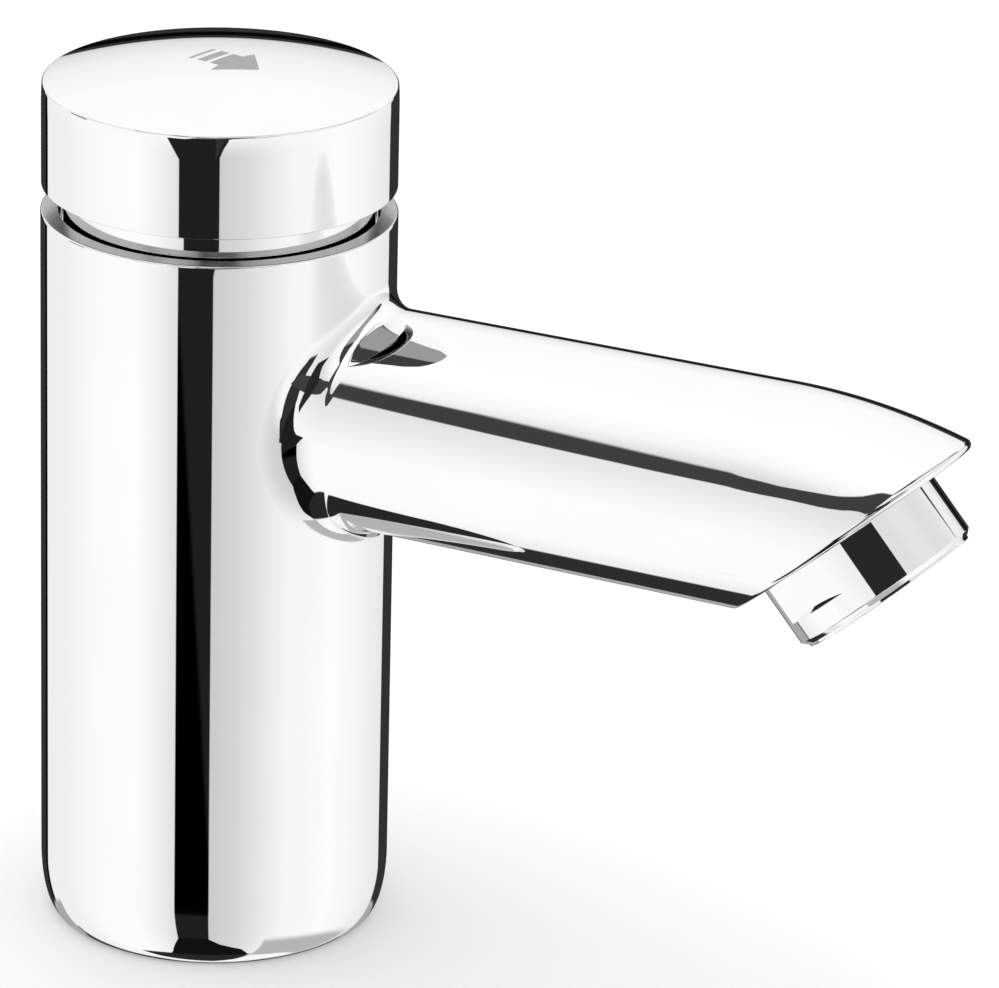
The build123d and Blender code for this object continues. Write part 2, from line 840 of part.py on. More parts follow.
pieces = [
    tap_body,
    base_plug,
    base_plug_oring,
    base_gasket,
    inlet_strainer,
    cartridge_housing,
    housing_oring_upper,
    housing_oring_lower,
    valve_seat,
    spindle,
    seat_washer,
    valve_plunger,
    plunger_nut,
    timing_piston,
    lip_seal,
    timing_jet,
    piston_clip,
    cartridge_cover,
    cover_oring,
    spindle_seal,
    thrust_washer,
    guide_collar,
    push_cap,
    cap_carrier,
    cap_snap_ring,
    spindle_clip,
    return_spring,
    aerator_housing,
    aerator_washer,
    jet_regulator,
    regulator_ring,
    outlet_screen,
]

os.makedirs("parts", exist_ok=True)
for piece in pieces:
    export_step(piece(), f"parts/{piece.__name__}.step")
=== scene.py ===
import json

import bpy
import numpy as np
from bpy.props import FloatProperty, FloatVectorProperty, IntProperty, PointerProperty
from mathutils import Matrix, Vector


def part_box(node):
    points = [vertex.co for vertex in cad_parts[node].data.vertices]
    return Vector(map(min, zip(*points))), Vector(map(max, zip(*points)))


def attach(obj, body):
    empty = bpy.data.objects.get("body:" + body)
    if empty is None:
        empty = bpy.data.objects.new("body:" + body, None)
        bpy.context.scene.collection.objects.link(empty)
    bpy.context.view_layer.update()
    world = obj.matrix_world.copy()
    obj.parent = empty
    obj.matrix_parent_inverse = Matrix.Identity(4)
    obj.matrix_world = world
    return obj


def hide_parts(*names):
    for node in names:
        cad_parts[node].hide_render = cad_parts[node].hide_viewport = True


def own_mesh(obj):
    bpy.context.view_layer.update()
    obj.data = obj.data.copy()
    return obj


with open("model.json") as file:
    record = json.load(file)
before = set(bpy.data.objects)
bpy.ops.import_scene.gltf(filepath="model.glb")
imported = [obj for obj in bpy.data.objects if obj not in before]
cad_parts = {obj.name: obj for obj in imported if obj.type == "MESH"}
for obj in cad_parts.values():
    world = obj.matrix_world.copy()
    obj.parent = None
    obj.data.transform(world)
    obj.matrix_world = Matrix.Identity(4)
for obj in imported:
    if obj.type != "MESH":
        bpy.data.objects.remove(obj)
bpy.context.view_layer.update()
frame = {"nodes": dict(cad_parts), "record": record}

bl_info = {
    "name": "Push timed tap",
    "version": (1, 0, 0),
    "blender": (4, 5, 0),
    "location": "View3D > Sidebar > Tap",
    "description": "Chromed press tap with a slanted spout, built round its packed frame",
    "category": "Add Mesh",
}

MM = 0.001
SHARP = np.radians(24)
# corners are welded on a grid of this many steps a metre
WELD = 1e7
# beyond a seam, an extra row lies this share of a run, this angle of the dome and this share of the
# cut's face, which keeps the shading true up to the seam
HOLD, DOME_HOLD, FACE_HOLD = 0.002, 0.0005, 0.04
# rounds that find the rolling ball's place and halve the way to the slanted edge
BALL_ROUNDS, EDGE_ROUNDS = 6, 48
# divisions of profiles and patches
FILLET_STEPS, WINDOW_STEPS, EDGE_STEPS, BREAK_STEPS = 24, 14, 8, 4
FOOT_STEPS, WALL_STEPS = 16, 24
SIDE_STEPS, CROWN_STEPS, CORNER_STEPS, DOME_STEPS, CEILING_STEPS = 12, 16, 12, 48, 24
SLOT_STEPS, MARK_STEPS, FLOOR_STEPS = 8, 12, 96
# how far the bare rim's finish reaches above and below the rim
RIM_REACH = 0.00003
# where between 0 and 1 a pattern's two tints start and end
TINT_STOPS = (0.3, 0.7)
# nearest and farthest visible points, as shares of the camera's distance
CLIP_SHARES = (0.01, 20)
FIXED_BODY = "tap"
MOVING_BODY = "press_unit"


def length(name, description, millimetres):
    """A length setting whose default is given in millimetres."""
    return FloatProperty(
        name=name, description=description, default=millimetres * MM, unit="LENGTH", precision=5
    )


def angle(name, description, degrees):
    """An angle setting whose default is given in degrees."""
    return FloatProperty(
        name=name, description=description, default=np.radians(degrees), subtype="ANGLE", unit="ROTATION"
    )


def share(name, description, value):
    """A plain factor, such as a strength."""
    return FloatProperty(name=name, description=description, default=value, precision=4)


def colour(name, description, value):
    """A linear colour."""
    return FloatVectorProperty(
        name=name, description=description, default=value, size=3, subtype="COLOR", min=0, max=1
    )


def count(name, description, value):
    """A number of divisions."""
    return IntProperty(name=name, description=description, default=value, min=1)


def top_of(node):
    """Height of a frame node's highest point, in millimetres."""
    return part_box(node)[1][2] / MM


def half_width_of(node):
    """Half of a frame node's width along X, in millimetres."""
    low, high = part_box(node)
    return (high[0] - low[0]) / 2 / MM


class BodySizes(bpy.types.PropertyGroup):
    pillar_radius: length("Pillar radius", "Outer radius of the pillar", half_width_of("tap_body"))
    rim_height: length("Rim height", "Height of the pillar's rim above the deck", top_of("tap_body"))
    foot_inset: length("Foot inset", "Draw-in of the foot's curve at the deck", 2.0)
    foot_rise: length("Foot rise", "Height of the foot's curve", 7.5)
    rim_width: length("Rim width", "Width of the flat rim", 2.2)
    rim_break: length("Rim break", "Rounding of the rim's outer edge", 0.25)
    recess_depth: length("Recess depth", "Depth of the recess round the guide collar", 5.9)
    nut_radius: length("Nut bore radius", "Bore that holds the guide collar's thread", 18.0)
    shoulder_height: length("Shoulder height", "Shoulder under the cartridge's flange", 80.0)
    main_radius: length("Main bore radius", "Bore round the upper part of the cartridge", 16.0)
    main_floor: length("Main bore floor", "Level where the main bore narrows", 58.0)
    lower_radius: length("Lower bore radius", "Bore round the lower part of the cartridge", 14.0)
    plug_top: length("Plug bore top", "Height of the step above the base plug", 13.0)
    plug_radius: length("Plug bore radius", "Bore round the base plug", 15.5)
    gasket_inner: length("Gasket groove inner radius", "Inner wall of the gasket's groove", 16.4)
    gasket_outer: length("Gasket groove outer radius", "Outer wall of the gasket's groove", 18.6)
    gasket_depth: length("Gasket groove depth", "Depth of the gasket's groove", 1.5)
    spout_height: length("Spout height", "Height of the spout's axis", 69.54)
    root_radius: length("Spout root radius", "Radius of the spout at the pillar's axis", 13.8)
    end_radius: length("Spout end radius", "Radius of the spout at its nose", 14.1)
    straight: length("Straight length", "Pillar's axis to the start of the nose", 76.0)
    bend_radius: length("Nose bend radius", "Radius on which the nose bends down", 64.0)
    joint_fillet: length("Joint fillet", "Fillet above and below the spout's root", 2.75)
    flank_fillet: length("Flank fillet", "Fillet on each side of the spout's root", 9.5)
    cut_reach: length("Cut reach", "Reach of the slanted end along the spout's axis", 88.5)
    cut_tilt: angle("Cut tilt", "Lean of the outlet from straight down", 41.2)
    cut_break: length("Cut break", "Rounding of the slanted edge", 0.75)
    outlet_shift: length("Outlet shift", "From the cut's middle to the outlet's axis", 4.0)
    outlet_radius: length("Outlet bore radius", "Bore that holds the aerator", 11.5)
    outlet_depth: length("Outlet bore depth", "Depth of the aerator's bore", 7.6)
    throat_radius: length("Throat radius", "Bore behind the aerator's washer", 6.5)
    throat_depth: length("Throat depth", "Depth of the bore behind the washer", 5.6)
    window_half_angle: angle("Joint window", "Half of the angle that the joint's mesh takes", 56.0)
    window_low: length("Joint window floor", "Lower edge of the joint's mesh on the pillar", 46.0)
    window_high: length("Joint window top", "Upper edge of the joint's mesh on the pillar", 91.0)
    side_steps: count("Steps a side", "Divisions of each side of the joint's mesh", 72)
    back_steps: count("Steps at the back", "Divisions of the rest of the pillar", 168)
    tube_steps: count("Steps along the spout", "Divisions along the spout", 110)


class CapSizes(bpy.types.PropertyGroup):
    radius: length("Cap radius", "Outer radius of the press cap", half_width_of("push_cap"))
    bottom: length("Cap bottom", "Height of the cap's lower edge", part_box("push_cap")[0][2] / MM)
    side: length("Side height", "Height of the cap's straight side", 12.9)
    dome: length("Dome height", "Rise of the domed top, just under the frame's", 2.97)
    edge_break: length("Edge break", "Rounding where the side meets the dome", 0.35)
    crown_height: length("Crown height", "Height over which the side's top draws in", 2.8)
    crown_lean: angle("Crown lean", "Lean of the side at the top edge's rounding", 3.0)
    lip_break: length("Lip break", "Rounding of the lower edge", 0.08)
    bore: length("Cap bore", "Radius inside the cap", 19.6)
    inner_depth: length("Inner depth", "Depth of the bore up to the carrier's ledge", 10.1)
    ledge: length("Ledge", "Width of the carrier's ledge", 2.1)
    ceiling: length("Top thickness", "Thickness of the domed top", 2.8)
    groove_radius: length("Groove radius", "Bottom of the snap ring's groove", 20.25)
    groove_height: length("Groove height", "Width of the snap ring's groove", 1.05)
    groove_drop: length("Groove drop", "From the ledge down to the groove's top", 2.4)
    steps: count("Steps round", "Divisions round the cap", 288)


class CollarSizes(bpy.types.PropertyGroup):
    bottom: length("Collar bottom", "Height of the collar's lower face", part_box("guide_collar")[0][2] / MM)
    top: length("Collar top", "Height of the collar's upper edge", top_of("guide_collar"))
    radius: length("Sleeve radius", "Outer radius of the sleeve", half_width_of("guide_collar"))
    thread_radius: length("Thread radius", "Radius of the threaded part", 17.95)
    step: length("Step height", "Height where the thread meets the sleeve", 87.4)
    bore: length("Collar bore", "Bore round the cartridge's neck", 15.0)
    wall: length("Sleeve wall", "Thickness of the sleeve", 2.0)
    inner: length("Inner floor", "Height of the floor inside the sleeve", 90.4)
    edge_break: length("Edge break", "Rounding of the sleeve's top edge", 0.4)
    slot_width: length("Slot width", "Width of each spanner slot", 3.0)
    slot_depth: length("Slot depth", "Depth of each spanner slot", 2.0)
    slots: count("Slots", "Spanner slots round the sleeve", 4)
    steps: count("Steps between slots", "Divisions between two slots", 60)


class AeratorSizes(bpy.types.PropertyGroup):
    radius: length("Sleeve radius", "Outer radius of the aerator's flange", 12.15)
    height: length("Height", "How far the aerator stands out of the spout", 8.7)
    lip_height: length("Lip height", "Height of the small ring at the mouth", 0.4)
    lip_step: length("Lip step", "How far the small ring is set back", 0.75)
    chamfer: length("Chamfer", "Chamfer of the flange's lower edge", 0.6)
    flat: length("Flat distance", "Distance from the axis to each wrench flat", 11.0)
    flat_height: length("Flat height", "Height of the wrench flats", 5.1)
    ledge_lean: angle("Ledge lean", "Slope of the ledge that ends the wrench flats", 20.0)
    flat_turn: angle("Flat turn", "Turn of the wrench flats from the tap's sides", 16.5)
    bore: length("Bore radius", "Bore round the regulator", 10.0)
    floor_height: length("Floor height", "Depth of the ledge that holds the screen", 1.85)
    mouth: length("Mouth radius", "Opening at the mouth", 9.3)
    thread_radius: length("Thread radius", "Radius of the threaded sleeve", 11.45)
    thread_height: length("Thread height", "Length of the threaded sleeve in the spout", 6.0)
    edge_break: length("Edge break", "Rounding of the outer edges", 0.08)
    steps: count("Steps a quarter", "Divisions of each quarter turn", 60)


class SpringSizes(bpy.types.PropertyGroup):
    radius: length("Coil radius", "Radius to the middle of the wire", 9.5)
    wire: length("Wire radius", "Radius of the wire", 0.8)
    seat: length("Seat height", "Height of the cover that carries the spring", 90.0)
    bottom: length("Bottom", "The wire's middle at the lower end", 90.85)
    top: length("Top", "The wire's middle at the upper end", 103.15)
    travel: length("Travel", "How far the cap goes down", 3.0)
    turns: count("Turns", "Turns of the spring", 5)
    steps: count("Steps a turn", "Divisions of one turn", 48)
    sides: count("Sides", "Divisions round the wire", 16)


class MarkSizes(bpy.types.PropertyGroup):
    turn: angle("Arrow turn", "Turn of the arrow from the spout's direction", -11.5)
    tip: length("Arrow tip", "From the cap's axis to the arrow's tip", 6.1)
    barb: length("Barb", "Distance to the arrow's barbs", 1.9)
    barb_half: length("Barb half width", "Half width of the arrow head", 4.1)
    notch: length("Notch", "Distance to the head's notches", 1.55)
    shaft_half: length("Shaft half width", "Half width of the shaft and the bars", 2.25)
    shaft_end: length("Shaft end", "Distance to the end of the shaft", 0.12)
    wide_start: length("Wide bar start", "Near end of the wide bar", -0.55)
    wide_end: length("Wide bar end", "Far end of the wide bar", -1.8)
    thin_start: length("Thin bar start", "Near end of the thin bar", -2.7)
    thin_end: length("Thin bar end", "Far end of the thin bar", -3.2)
    height: length("Mark height", "Height of the print over the dome", 0.012)
    depth: length("Mark depth", "Depth of the print's plate in the dome", 0.06)


class StageSettings(bpy.types.PropertyGroup):
    azimuth: angle("Camera azimuth", "Bearing of the camera, from -Y towards +X", -63.98)
    elevation: angle("Camera elevation", "Height of the camera above the horizon", 21.29)
    roll: angle("Camera roll", "Turn of the picture", 1.40)
    distance: length("Camera distance", "Distance from the camera to its target", 850.0)
    target_height: length("Target height", "Height of the camera's target", 56.05)
    target_side: length("Target side", "Place of the target to the camera's right", 35.23)
    focal_share: share("Focal share", "Focal length over the picture's width", 6810.44 / 999)
    sensor: length("Sensor width", "Width of the camera's sensor", 36.0)
    floor_radius: length("Floor radius", "Radius of the pale floor", 2600.0)
    floor_drop: length("Floor drop", "How far the floor lies under the foot", 0.02)
    floor_colour: colour("Floor colour", "Colour of the pale floor", (0.93, 0.93, 0.93))
    sky_strength: share("Sky strength", "Brightness of the white tent in the chrome", 1.3)
    fill_strength: share("Fill strength", "Brightness that lights dull surfaces", 1.36)
    glow_power: share("Soft light power", "Power of the large soft light, in watts", 2.0)
    glow_size: length("Soft light size", "Side of the large soft light", 900.0)
    glow_height: length("Soft light height", "Height of the large soft light", 1200.0)


class FinishColours(bpy.types.PropertyGroup):
    chrome: colour("Chrome", "Colour of the chrome plate", (0.965, 0.968, 0.972))
    machined: colour("Machined rim", "Colour of the machined rim round the guide collar", (0.50, 0.50, 0.51))
    brass: colour("Brass", "Colour of the bare brass", (0.78, 0.58, 0.27))
    rubber: colour("Rubber", "Colour of the black rubber", (0.022, 0.022, 0.024))
    steel: colour("Steel", "Colour of the stainless steel", (0.62, 0.61, 0.59))
    white: colour("White acetal", "Colour of the white plastic", (0.84, 0.83, 0.79))
    grey: colour("Grey acetal", "Colour of the grey plastic", (0.30, 0.31, 0.33))
    print_grey: colour("Print", "Colour of the printed arrow", (0.33, 0.33, 0.34))


def joined(*parts):
    """Points from their coordinates, or faces from their corners: numbers or arrays side by side."""
    return np.stack(np.broadcast_arrays(*parts), axis=-1)


def line(start, end, steps):
    """Even run of numbers or points, first and last included."""
    return np.linspace(start, end, steps + 1)


def turned(profile, angles):
    """Surface of revolution: each (radius, height) of the profile is carried round Z, and a bearing a
    from -Y gives x = r sin a, y = -r cos a."""
    radius, height = np.asarray(profile, float).T
    return joined(np.sin(angles)[:, None] * radius, -np.cos(angles)[:, None] * radius, height)


def arc(centre, radius, first, last, steps):
    """Points on a circle: centre + radius (cos a, sin a), with a from first to last."""
    turn = line(first, last, steps)
    return joined(centre[0] + radius * np.cos(turn), centre[1] + radius * np.sin(turn))


def stepped(radii, levels):
    """Outline of square steps: the first radius from the first level to the second, then the next
    radius from there to the third level, and so on."""
    number = min(2 * len(radii), 2 * len(levels) - 1)
    return joined(np.repeat(radii, 2)[:number], np.repeat(levels, 2)[1:number + 1])


def softened(points, radii):
    """Closed or open outline whose corners are arcs: at each corner the arc of the given radius touches
    both sides at radius / tan(half the corner's angle) from it. A point a quarter of the radius beyond
    each end of the arc keeps the shading of the sides straight."""
    points = np.asarray(points, float)
    out = [points[:1]]
    for before, corner, after, radius in zip(points, points[1:], points[2:], radii):
        if radius <= 0:
            out.append(corner[None])
            continue
        a = (before - corner) / np.linalg.norm(before - corner)
        b = (after - corner) / np.linalg.norm(after - corner)
        half = np.arccos(np.clip(a @ b, -1, 1)) / 2
        middle = corner + (a + b) / np.linalg.norm(a + b) * radius / np.sin(half)
        reach = radius / np.tan(half)
        start = corner + a * reach - middle
        end = corner + b * reach - middle
        out.append((corner + a * (reach + radius / 4))[None])
        out.append(middle + slerp(start / radius, end / radius, line(0, 1, BREAK_STEPS)) * radius)
        out.append((corner + b * (reach + radius / 4))[None])
    out.append(points[-1:])
    return np.concatenate(out)


def held(steps):
    """Shares from 0 to 1 in even steps, with one more close to each end, which keeps the shading true
    up to the seams."""
    return np.concatenate([[0.0, HOLD], line(0, 1, steps)[1:-1], [1 - HOLD, 1.0]])


def slerp(a, b, shares):
    """Unit vectors turned evenly from a to b: (sin((1 - s) w) a + sin(s w) b) / sin w."""
    w = np.arccos(np.clip(np.sum(a * b, axis=-1, keepdims=True), -1, 1))
    s = shares.reshape((-1,) + (1,) * a.ndim)
    result = (np.sin((1 - s) * w) * a + np.sin(s * w) * b) / np.sin(w)
    return result.reshape((s.shape[0],) + a.shape)


def welded(patches):
    """One set of corners and faces from several grids of points: corners nearer than a tenth of a
    micrometre become one, and a face that loses a corner becomes a triangle."""
    corners, quads, offset = [], [], 0
    for grid in patches:
        rows, columns = grid.shape[:2]
        index = np.arange(rows * columns).reshape(rows, columns) + offset
        faces = joined(index[:-1, :-1], index[1:, :-1], index[1:, 1:], index[:-1, 1:])
        quads.append(faces.reshape(-1, 4))
        corners.append(grid.reshape(-1, 3))
        offset += rows * columns
    corners = np.concatenate(corners)
    quads = np.concatenate(quads)
    places = np.round(corners * WELD).astype(np.int64)
    _, first, back = np.unique(places, axis=0, return_index=True, return_inverse=True)
    quads = back.reshape(-1)[quads]
    same = quads == np.roll(quads, -1, axis=1)
    whole = quads[~same.any(axis=1)]
    short = quads[same.sum(axis=1) == 1]
    keep = ~same[same.sum(axis=1) == 1]
    triangles = short[keep].reshape(-1, 3)
    return corners[first], whole, triangles


def piece(name, patches, finish, body, replaced=()):
    """Mesh object at the origin from welded grids, smooth but for its sharp edges."""
    corners, quads, triangles = welded(patches)
    mesh = bpy.data.meshes.new(name)
    loops = np.concatenate([quads.ravel(), triangles.ravel()])
    starts = np.concatenate([np.arange(len(quads)) * 4, len(quads) * 4 + np.arange(len(triangles)) * 3])
    mesh.vertices.add(len(corners))
    mesh.vertices.foreach_set("co", corners.astype(np.float32).ravel())
    mesh.loops.add(len(loops))
    mesh.loops.foreach_set("vertex_index", loops.astype(np.int32))
    mesh.polygons.add(len(starts))
    mesh.polygons.foreach_set("loop_start", starts.astype(np.int32))
    mesh.polygons.foreach_set("use_smooth", np.ones(len(starts), bool))
    mesh.update(calc_edges=True)
    mesh.validate()
    mesh.set_sharp_from_angle(angle=SHARP)
    mesh.materials.append(finish_of(finish))
    thing = bpy.data.objects.new(name, mesh)
    bpy.context.scene.collection.objects.link(thing)
    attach(thing, body)
    if replaced:
        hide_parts(*replaced)
    return thing


class Outlet:
    """Local frame of the slanted end: origin on the outlet's axis in the cut, x to the side, y up the
    slant and z out of the spout."""

    def __init__(self, sizes):
        tilt = sizes.cut_tilt
        self.side = np.array([1.0, 0.0, 0.0])
        self.up = np.array([0.0, -np.cos(tilt), np.sin(tilt)])
        self.out = np.array([0.0, -np.sin(tilt), -np.cos(tilt)])
        self.cut = np.array([0.0, -sizes.cut_reach, sizes.spout_height])
        self.middle = self.cut - self.up * sizes.outlet_shift

    def place(self, grid):
        """Grid of local points as points of the frame."""
        return self.middle + grid[..., :1] * self.side + grid[..., 1:2] * self.up + grid[..., 2:] * self.out


def spout_axis(along, sizes):
    """Middle line of the spout and its upward normal: straight along -Y, then down on the nose's arc."""
    turn = np.clip(along - sizes.straight, 0, None) / sizes.bend_radius
    y = np.minimum(along, sizes.straight) + sizes.bend_radius * np.sin(turn)
    z = sizes.spout_height - sizes.bend_radius * (1 - np.cos(turn))
    return joined(0.0, -y, z), joined(0.0, -np.sin(turn), np.cos(turn))


def spout_radius(along, sizes):
    """Radius of the spout, which grows evenly up to the nose."""
    grow = (sizes.end_radius - sizes.root_radius) / sizes.straight
    return sizes.root_radius + grow * np.minimum(along, sizes.straight)


def spout_radial(round_angle, normal):
    """Unit vector from the middle line to the wall at an angle from +X."""
    side = np.array([1.0, 0.0, 0.0])
    return np.cos(round_angle)[..., None] * side + np.sin(round_angle)[..., None] * normal


def joint_rows(t, sizes):
    """Rows of the joint: contact line on the pillar, rolling-ball fillet, contact line on the spout.
    The ball's middle lies a ball radius outside both walls, and the ball grows from the top and the
    bottom to the flanks with the fourth power of the cosine."""
    ball = sizes.joint_fillet + (sizes.flank_fillet - sizes.joint_fillet) * np.cos(t) ** 4
    along = np.full_like(t, sizes.pillar_radius)
    for _ in range(BALL_ROUNDS):
        reach = spout_radius(along, sizes) + ball
        along = np.sqrt((sizes.pillar_radius + ball) ** 2 - (reach * np.cos(t)) ** 2)
    middle = joined(reach * np.cos(t), -along, sizes.spout_height + reach * np.sin(t))
    flat = middle * [1, 1, 0]
    to_pillar = -flat / np.linalg.norm(flat, axis=-1, keepdims=True)
    up = np.broadcast_to([0.0, 0.0, 1.0], middle.shape)
    to_spout = -spout_radial(t, up)
    rows = middle + ball[:, None] * slerp(to_pillar, to_spout, line(0, 1, FILLET_STEPS))
    return rows, along


def window_rows(first, sizes):
    """Rows on the pillar from the square window in to the joint's contact line, straight on the
    unrolled wall."""
    k = sizes.side_steps
    wide, low, high = sizes.window_half_angle, sizes.window_low, sizes.window_high
    corners = [(wide, low), (wide, high), (-wide, high), (-wide, low), (wide, low)]
    sides = [line(start, end, k)[:-1] for start, end in zip(corners, corners[1:])]
    window = np.concatenate(sides + [corners[-1:]])
    contact = joined(np.arctan2(first[:, 0], -first[:, 1]), first[:, 2])
    bearing, height = np.moveaxis(window + (contact - window) * held(WINDOW_STEPS)[:, None, None], -1, 0)
    return joined(sizes.pillar_radius * np.sin(bearing), -sizes.pillar_radius * np.cos(bearing), height)


def end_rows(t, sizes, outlet):
    """Along-distance where the slanted edge's rounding starts, and the rows of that rounding: a ball
    that touches the wall and the cut from inside."""
    ball = sizes.cut_break
    low = np.full_like(t, sizes.pillar_radius)
    high = np.full_like(t, sizes.cut_reach * 2)
    for _ in range(EDGE_ROUNDS):
        along = (low + high) / 2
        centre, normal = spout_axis(along, sizes)
        radial = spout_radial(t, normal)
        middle = centre + radial * (spout_radius(along, sizes) - ball)[..., None]
        inside = (middle - outlet.cut) @ outlet.out + ball < 0
        low, high = np.where(inside, along, low), np.where(inside, high, along)
    face = np.broadcast_to(outlet.out, radial.shape)
    return along, middle + ball * slerp(radial, face, line(0, 1, EDGE_STEPS))


def spout_grid(sizes):
    """One grid from the window on the pillar over the fillet, along the spout, round the slanted edge
    and into the outlet's bore."""
    t = line(-np.pi / 4, 2 * np.pi - np.pi / 4, 4 * sizes.side_steps)
    outlet = Outlet(sizes)
    fillet, start = joint_rows(t, sizes)
    window = window_rows(fillet[0], sizes)
    stop, rounding = end_rows(t, sizes, outlet)
    along = start + (stop - start) * held(sizes.tube_steps)[:, None]
    centre, normal = spout_axis(along, sizes)
    turn = np.broadcast_to(t, along.shape)
    tube = centre + spout_radial(turn, normal) * spout_radius(along, sizes)[..., None]
    floor = -sizes.outlet_depth - sizes.throat_depth
    bore = stepped([sizes.outlet_radius, sizes.throat_radius, 0], [0, -sizes.outlet_depth, floor])
    radius, height = bore.T[..., None]
    face = outlet.place(joined(radius * np.cos(t), radius * np.sin(t), height))
    inside = rounding[-1:] + (face[:1] - rounding[-1:]) * FACE_HOLD
    rows = np.concatenate([window, fillet[1:], tube[1:], rounding[1:], inside, face])
    return rows.transpose(1, 0, 2)


def pillar_grids(sizes):
    """Grids of the pillar: side with a square window, foot, rim and bores."""
    wide = sizes.window_half_angle
    front = line(-wide, wide, sizes.side_steps)
    back = line(wide, 2 * np.pi - wide, sizes.back_steps)
    radius, rim = sizes.pillar_radius, sizes.rim_height
    low, high = sizes.window_low, sizes.window_high
    foot_radius = radius - sizes.foot_inset
    turn = line(-np.pi / 2, 0, FOOT_STEPS)
    foot = joined(foot_radius + sizes.foot_inset * np.cos(turn), sizes.foot_rise * (1 + np.sin(turn)))
    below = np.concatenate([foot, line((radius, sizes.foot_rise), (radius, low), WALL_STEPS)[1:]])
    beside = line((radius, low), (radius, high), sizes.side_steps)
    walls = [
        radius, radius - sizes.rim_width, sizes.nut_radius, sizes.main_radius, sizes.lower_radius,
        sizes.plug_radius, sizes.gasket_inner, sizes.gasket_outer, foot_radius,
    ]
    levels = [
        high, rim, rim - sizes.recess_depth, sizes.shoulder_height, sizes.main_floor, sizes.plug_top, 0,
        sizes.gasket_depth, 0,
    ]
    edge = softened(stepped(walls, levels), [sizes.rim_break, sizes.rim_break / 3] + [0] * 13)
    grids = [turned(part, angles) for part in (below, edge) for angles in (front, back)]
    return grids + [turned(beside, back)]


def cap_grids(sizes):
    """Outer and inner skin of the press cap. The dome is part of a sphere through the edge circle, and
    the side's top draws in on a large arc that leans by the crown's angle where the edge's rounding
    starts."""
    top = sizes.bottom + sizes.side + sizes.dome
    sphere = (sizes.radius ** 2 + sizes.dome ** 2) / (2 * sizes.dome)
    centre = top - sphere
    ball, lean = sizes.edge_break, sizes.crown_lean
    crown = sizes.crown_height / np.sin(lean)
    inset = sizes.radius - crown * (1 - np.cos(lean)) - ball * np.cos(lean)
    corner = (inset, centre + np.sqrt((sphere - ball) ** 2 - inset ** 2))
    start = np.arctan2(corner[1] - centre, corner[0])
    crown_start = corner[1] + ball * np.sin(lean) - sizes.crown_height
    angles = line(0, 2 * np.pi, sizes.steps)
    lip = softened(
        [(sizes.bore, sizes.bottom), (sizes.radius, sizes.bottom), (sizes.radius, crown_start)],
        [sizes.lip_break],
    )
    runs = [
        line(lip[-2], lip[-1], SIDE_STEPS),
        arc((sizes.radius - crown, crown_start), crown, 0, lean, CROWN_STEPS),
        arc(corner, ball, lean, start, CORNER_STEPS),
        arc((0, centre), sphere, start, start + DOME_HOLD, 1),
        arc((0, centre), sphere, start, np.pi / 2, DOME_STEPS),
    ]
    outer = np.concatenate([lip[:-1]] + [run[1:] for run in runs])
    outer[-1, 0] = 0
    ledge = sizes.bore - sizes.ledge
    inner_sphere = sphere - sizes.ceiling
    dome = arc((0, centre), inner_sphere, np.pi / 2, np.arccos(ledge / inner_sphere), CEILING_STEPS)
    dome[0, 0] = 0
    ceiling_level = sizes.bottom + sizes.inner_depth
    groove_top = ceiling_level - sizes.groove_drop
    groove_bottom = groove_top - sizes.groove_height
    steps = stepped(
        [ledge, sizes.bore, sizes.groove_radius, sizes.bore],
        [dome[-1, 1], ceiling_level, groove_top, groove_bottom, sizes.bottom],
    )
    inner = np.concatenate([dome, steps[1:]])
    return [turned(outer, angles), turned(inner, angles)]


def collar_grids(sizes):
    """Skin of the guide collar. The top row drops by the slot's depth inside each slot, and the two
    columns at a slot's side share one bearing, so the step is upright."""
    half = np.arcsin(sizes.slot_width / 2 / (sizes.radius - sizes.wall / 2))
    pitch = 2 * np.pi / sizes.slots
    bearings, drops = [], []
    for turn in range(sizes.slots):
        middle = turn * pitch
        slot = line(middle - half, middle + half, SLOT_STEPS)
        land = line(middle + half, middle + pitch - half, sizes.steps)
        bearings += [slot, land]
        drops += [np.full(len(slot), sizes.slot_depth), np.zeros(len(land))]
    bearings = np.concatenate(bearings + [[2 * np.pi - half]])
    drops = np.concatenate(drops + [[sizes.slot_depth]])
    sleeve_bore = sizes.radius - sizes.wall
    steps = stepped(
        [sizes.bore, sizes.thread_radius, sizes.radius, sleeve_bore, sizes.bore],
        [sizes.bottom, sizes.bottom, sizes.step, sizes.top, sizes.inner, sizes.bottom],
    )
    profile = softened(steps[1:], [0, 0, 0, sizes.edge_break, sizes.edge_break / 2, 0, 0])
    grid = turned(profile, bearings)
    near_top = np.clip((grid[..., 2] - (sizes.top - sizes.slot_depth)) / sizes.slot_depth, 0, 1)
    grid[..., 2] -= drops[:, None] * (near_top > 0)
    return [grid]


